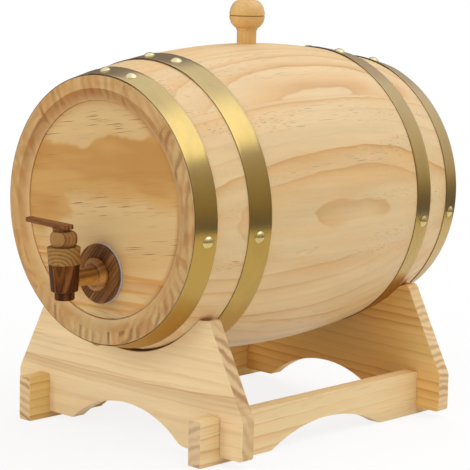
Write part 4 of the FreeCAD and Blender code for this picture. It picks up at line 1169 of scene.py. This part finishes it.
# %% Stretchers
def stretcher(name, side, material, pith, start):
    """A board on edge with an arch underneath; its grain runs lengthways."""
    reach = FACE + 17.4
    arch = circle_arc((-55, 0), (55, 0), 13.9, 49)
    corners = [(*arch[-2], 0.0), (55, 0, 0.8), (reach, 0, 1.6), (reach, STRETCHER_HEIGHT, 0.8),
               (-reach, STRETCHER_HEIGHT, 0.8), (-reach, 0, 1.6), (-55, 0, 0.8), (*arch[1], 0.0)]
    outline = np.concatenate([softened(corners, 1.0, 5), arch[2:-2]])
    y, z, depth = np.moveaxis(board_grid(outline, BOARD, 0.5), -1, 0)
    middle = side * STRETCHER_MIDDLE

    def log(places):
        x, y, z = places.T
        return vectors(y - SHIFT + start, z - pith[0] - 0.02 * y, x - middle - pith[1])

    return cradle_board(name, vectors(depth + middle, y + SHIFT, z), material, (0, 1, 0), log=log)


left_pine = pine("left_stretcher_pine", (255, 223, 146), (224, 166, 92), (170, 112, 56), (220, 170, 98), ring=5.0,
                 contrast=1.0, wander=1.5, calm=0.40, end_ring=1.0, sawn=((230, 196, 148), (168, 128, 86)))
right_pine = pine("right_stretcher_pine", (246, 218, 165), (234, 182, 118), (202, 146, 88), (244, 208, 152), ring=7.0,
                  contrast=0.8, wander=2.0, calm=0.46, end_ring=0.8, dashes=0.5,
                  sawn=((222, 192, 150), (150, 116, 80)))
stretcher("left_stretcher", -1, left_pine, (-60, -30), 14000)
stretcher("right_stretcher", 1, right_pine, (-60, 45), 14700)

# %% [markdown]
# ## The room
#
# A white floor and a white surround, with soft lamps at a plain level. The
# white comes from what the camera and the reflections see, not from more
# light, and the floor keeps the barrel's shadow.

# %% Floor and world
WHITE = (1, 1, 1, 1)
paint = Finish("floor_paint")
matt = paint.node("BsdfDiffuse", {"Color": (0.96, 0.96, 0.96, 1)})
white = paint.node("Emission", {"Color": WHITE, "Strength": 1.0})
x, y, _ = paint.split(paint.place())
away = (x * x + y * y) ** 0.5
share = paint.seen() * (0.84 + away.step(0.3, 1.0) * 0.16)
paint.output(paint.node("MixShader", {0: share, 1: matt, 2: white}))
edge = 14.0
corners = np.array([(-edge, -edge, 0), (edge, -edge, 0), (edge, edge, 0), (-edge, edge, 0)])
floor = show("floor", mesh_of("floor", corners, [(0, 1, 2, 3)]))
floor.data.materials.append(paint.material)
floor.location.z = -0.0002

world = bpy.data.worlds.new("surround")
bpy.context.scene.world = world
sky = Finish("surround", world)
AMBIENT = 0.36
strength = sky.seen() * (1.0 - AMBIENT) + AMBIENT
sky.output(sky.node("Background", {"Color": WHITE, "Strength": strength}), "World")


# %% Lamps
def lamp(name, place, aim, width, height, power):
    """A soft rectangular lamp at a place, looking at an aim; reflections don't show it."""
    light = bpy.data.lights.new(name, "AREA")
    light.shape, light.size, light.size_y, light.energy = "RECTANGLE", width, height, power
    towards = np.array(aim, float) - place
    towards /= np.linalg.norm(towards)
    side_way = np.cross(towards, [0, 0, 1.0])
    side_way /= np.linalg.norm(side_way)
    made = show(name, light)
    made.matrix_world = axes_matrix(side_way, np.cross(side_way, towards), -towards, place)
    made.visible_glossy = False


lamp("top_lamp", (0.72, 0.42, 1.42), (0, 0, 0.15), 2.3, 1.05, 15.5)
lamp("back_lamp", (-0.6, 0.8, 1.3), (0, 0, 0.2), 1.2, 1.2, 6.0)
lamp("front_lamp", (-0.3, -1.7, 0.9), (0, 0, 0.12), 1.0, 1.0, 12.5)
lamp("side_lamp", (1.5, -0.9, 0.7), (0, 0, 0.12), 0.8, 0.8, 0.8)
print("lamps:", len(bpy.data.lights))

# %% [markdown]
# ## What the brass reflects
#
# Polished brass is a mirror, so it looks like brass only where it has
# something dark to show beside something bright. A studio puts dark cloth
# round the table and a bright panel above it. Here both are one closed dome
# that only reflections see: no camera, shadow or soft light meets it, and the
# lamps in their turn are hidden from reflections. The dome's level follows
# the direction alone: dark and slowly rising up to the cloth's edge, a little
# lighter straight behind the barrel and darker at its left rear, bright round
# the panel above its right side, and middling elsewhere overhead.

# %% Surround dome
turn = circle(96)
slope, bow = np.linspace(0, 1, 20), np.linspace(0, np.pi / 2, 21)[1:]
reach = np.concatenate([0.66 + 0.76 * slope, 1.42 * np.cos(bow) + 0.002])[:, None]
height = np.concatenate([0.0004 + 1.05 * slope, 1.05 + 1.2 * np.sin(bow)])[:, None]
dome_points = vectors(reach * np.sin(turn), -reach * np.cos(turn), height)
cloth = Finish("surround_cloth")
x, y, z = cloth.split(cloth.place())
z = z - 0.15
far = (x * x + y * y) ** 0.5
whole = (far * far + z * z) ** 0.5
rise = z / whole
left_back = (x / far).step(-0.1, -0.4) * (y / far).step(-0.1, 0.2)
low = 0.39 + rise.maths("MAXIMUM", 0.0) * 0.6 + rise.maths("MINIMUM", 0.0) * 1.4
low = low * (1 - left_back * 0.6) + (y / far).step(0.75, 0.95) * rise.step(-0.08, 0.10) * 0.36
panel = ((x * 0.602 + y * 0.320 + z * 0.731) / whole).step(0.78, 0.97)
high = 1.35 + panel * 1.05
above = (rise - left_back * 0.08).step(0.57, 0.66)
level = low + (high - low) * above
tint = cloth.mix(level.step(0.4, 1.3, False), (0.97, 0.86, 0.56, 1), (0.93, 1.07, 1.5, 1))
cloth.output(cloth.node("Emission", {"Color": tint, "Strength": level}))
screen = show("surround_screen", mesh_of("surround_screen", dome_points, grid_faces(40, 96).tolist()))
screen.data.materials.append(cloth.material)
screen.visible_camera = screen.visible_diffuse = screen.visible_shadow = screen.visible_transmission = False
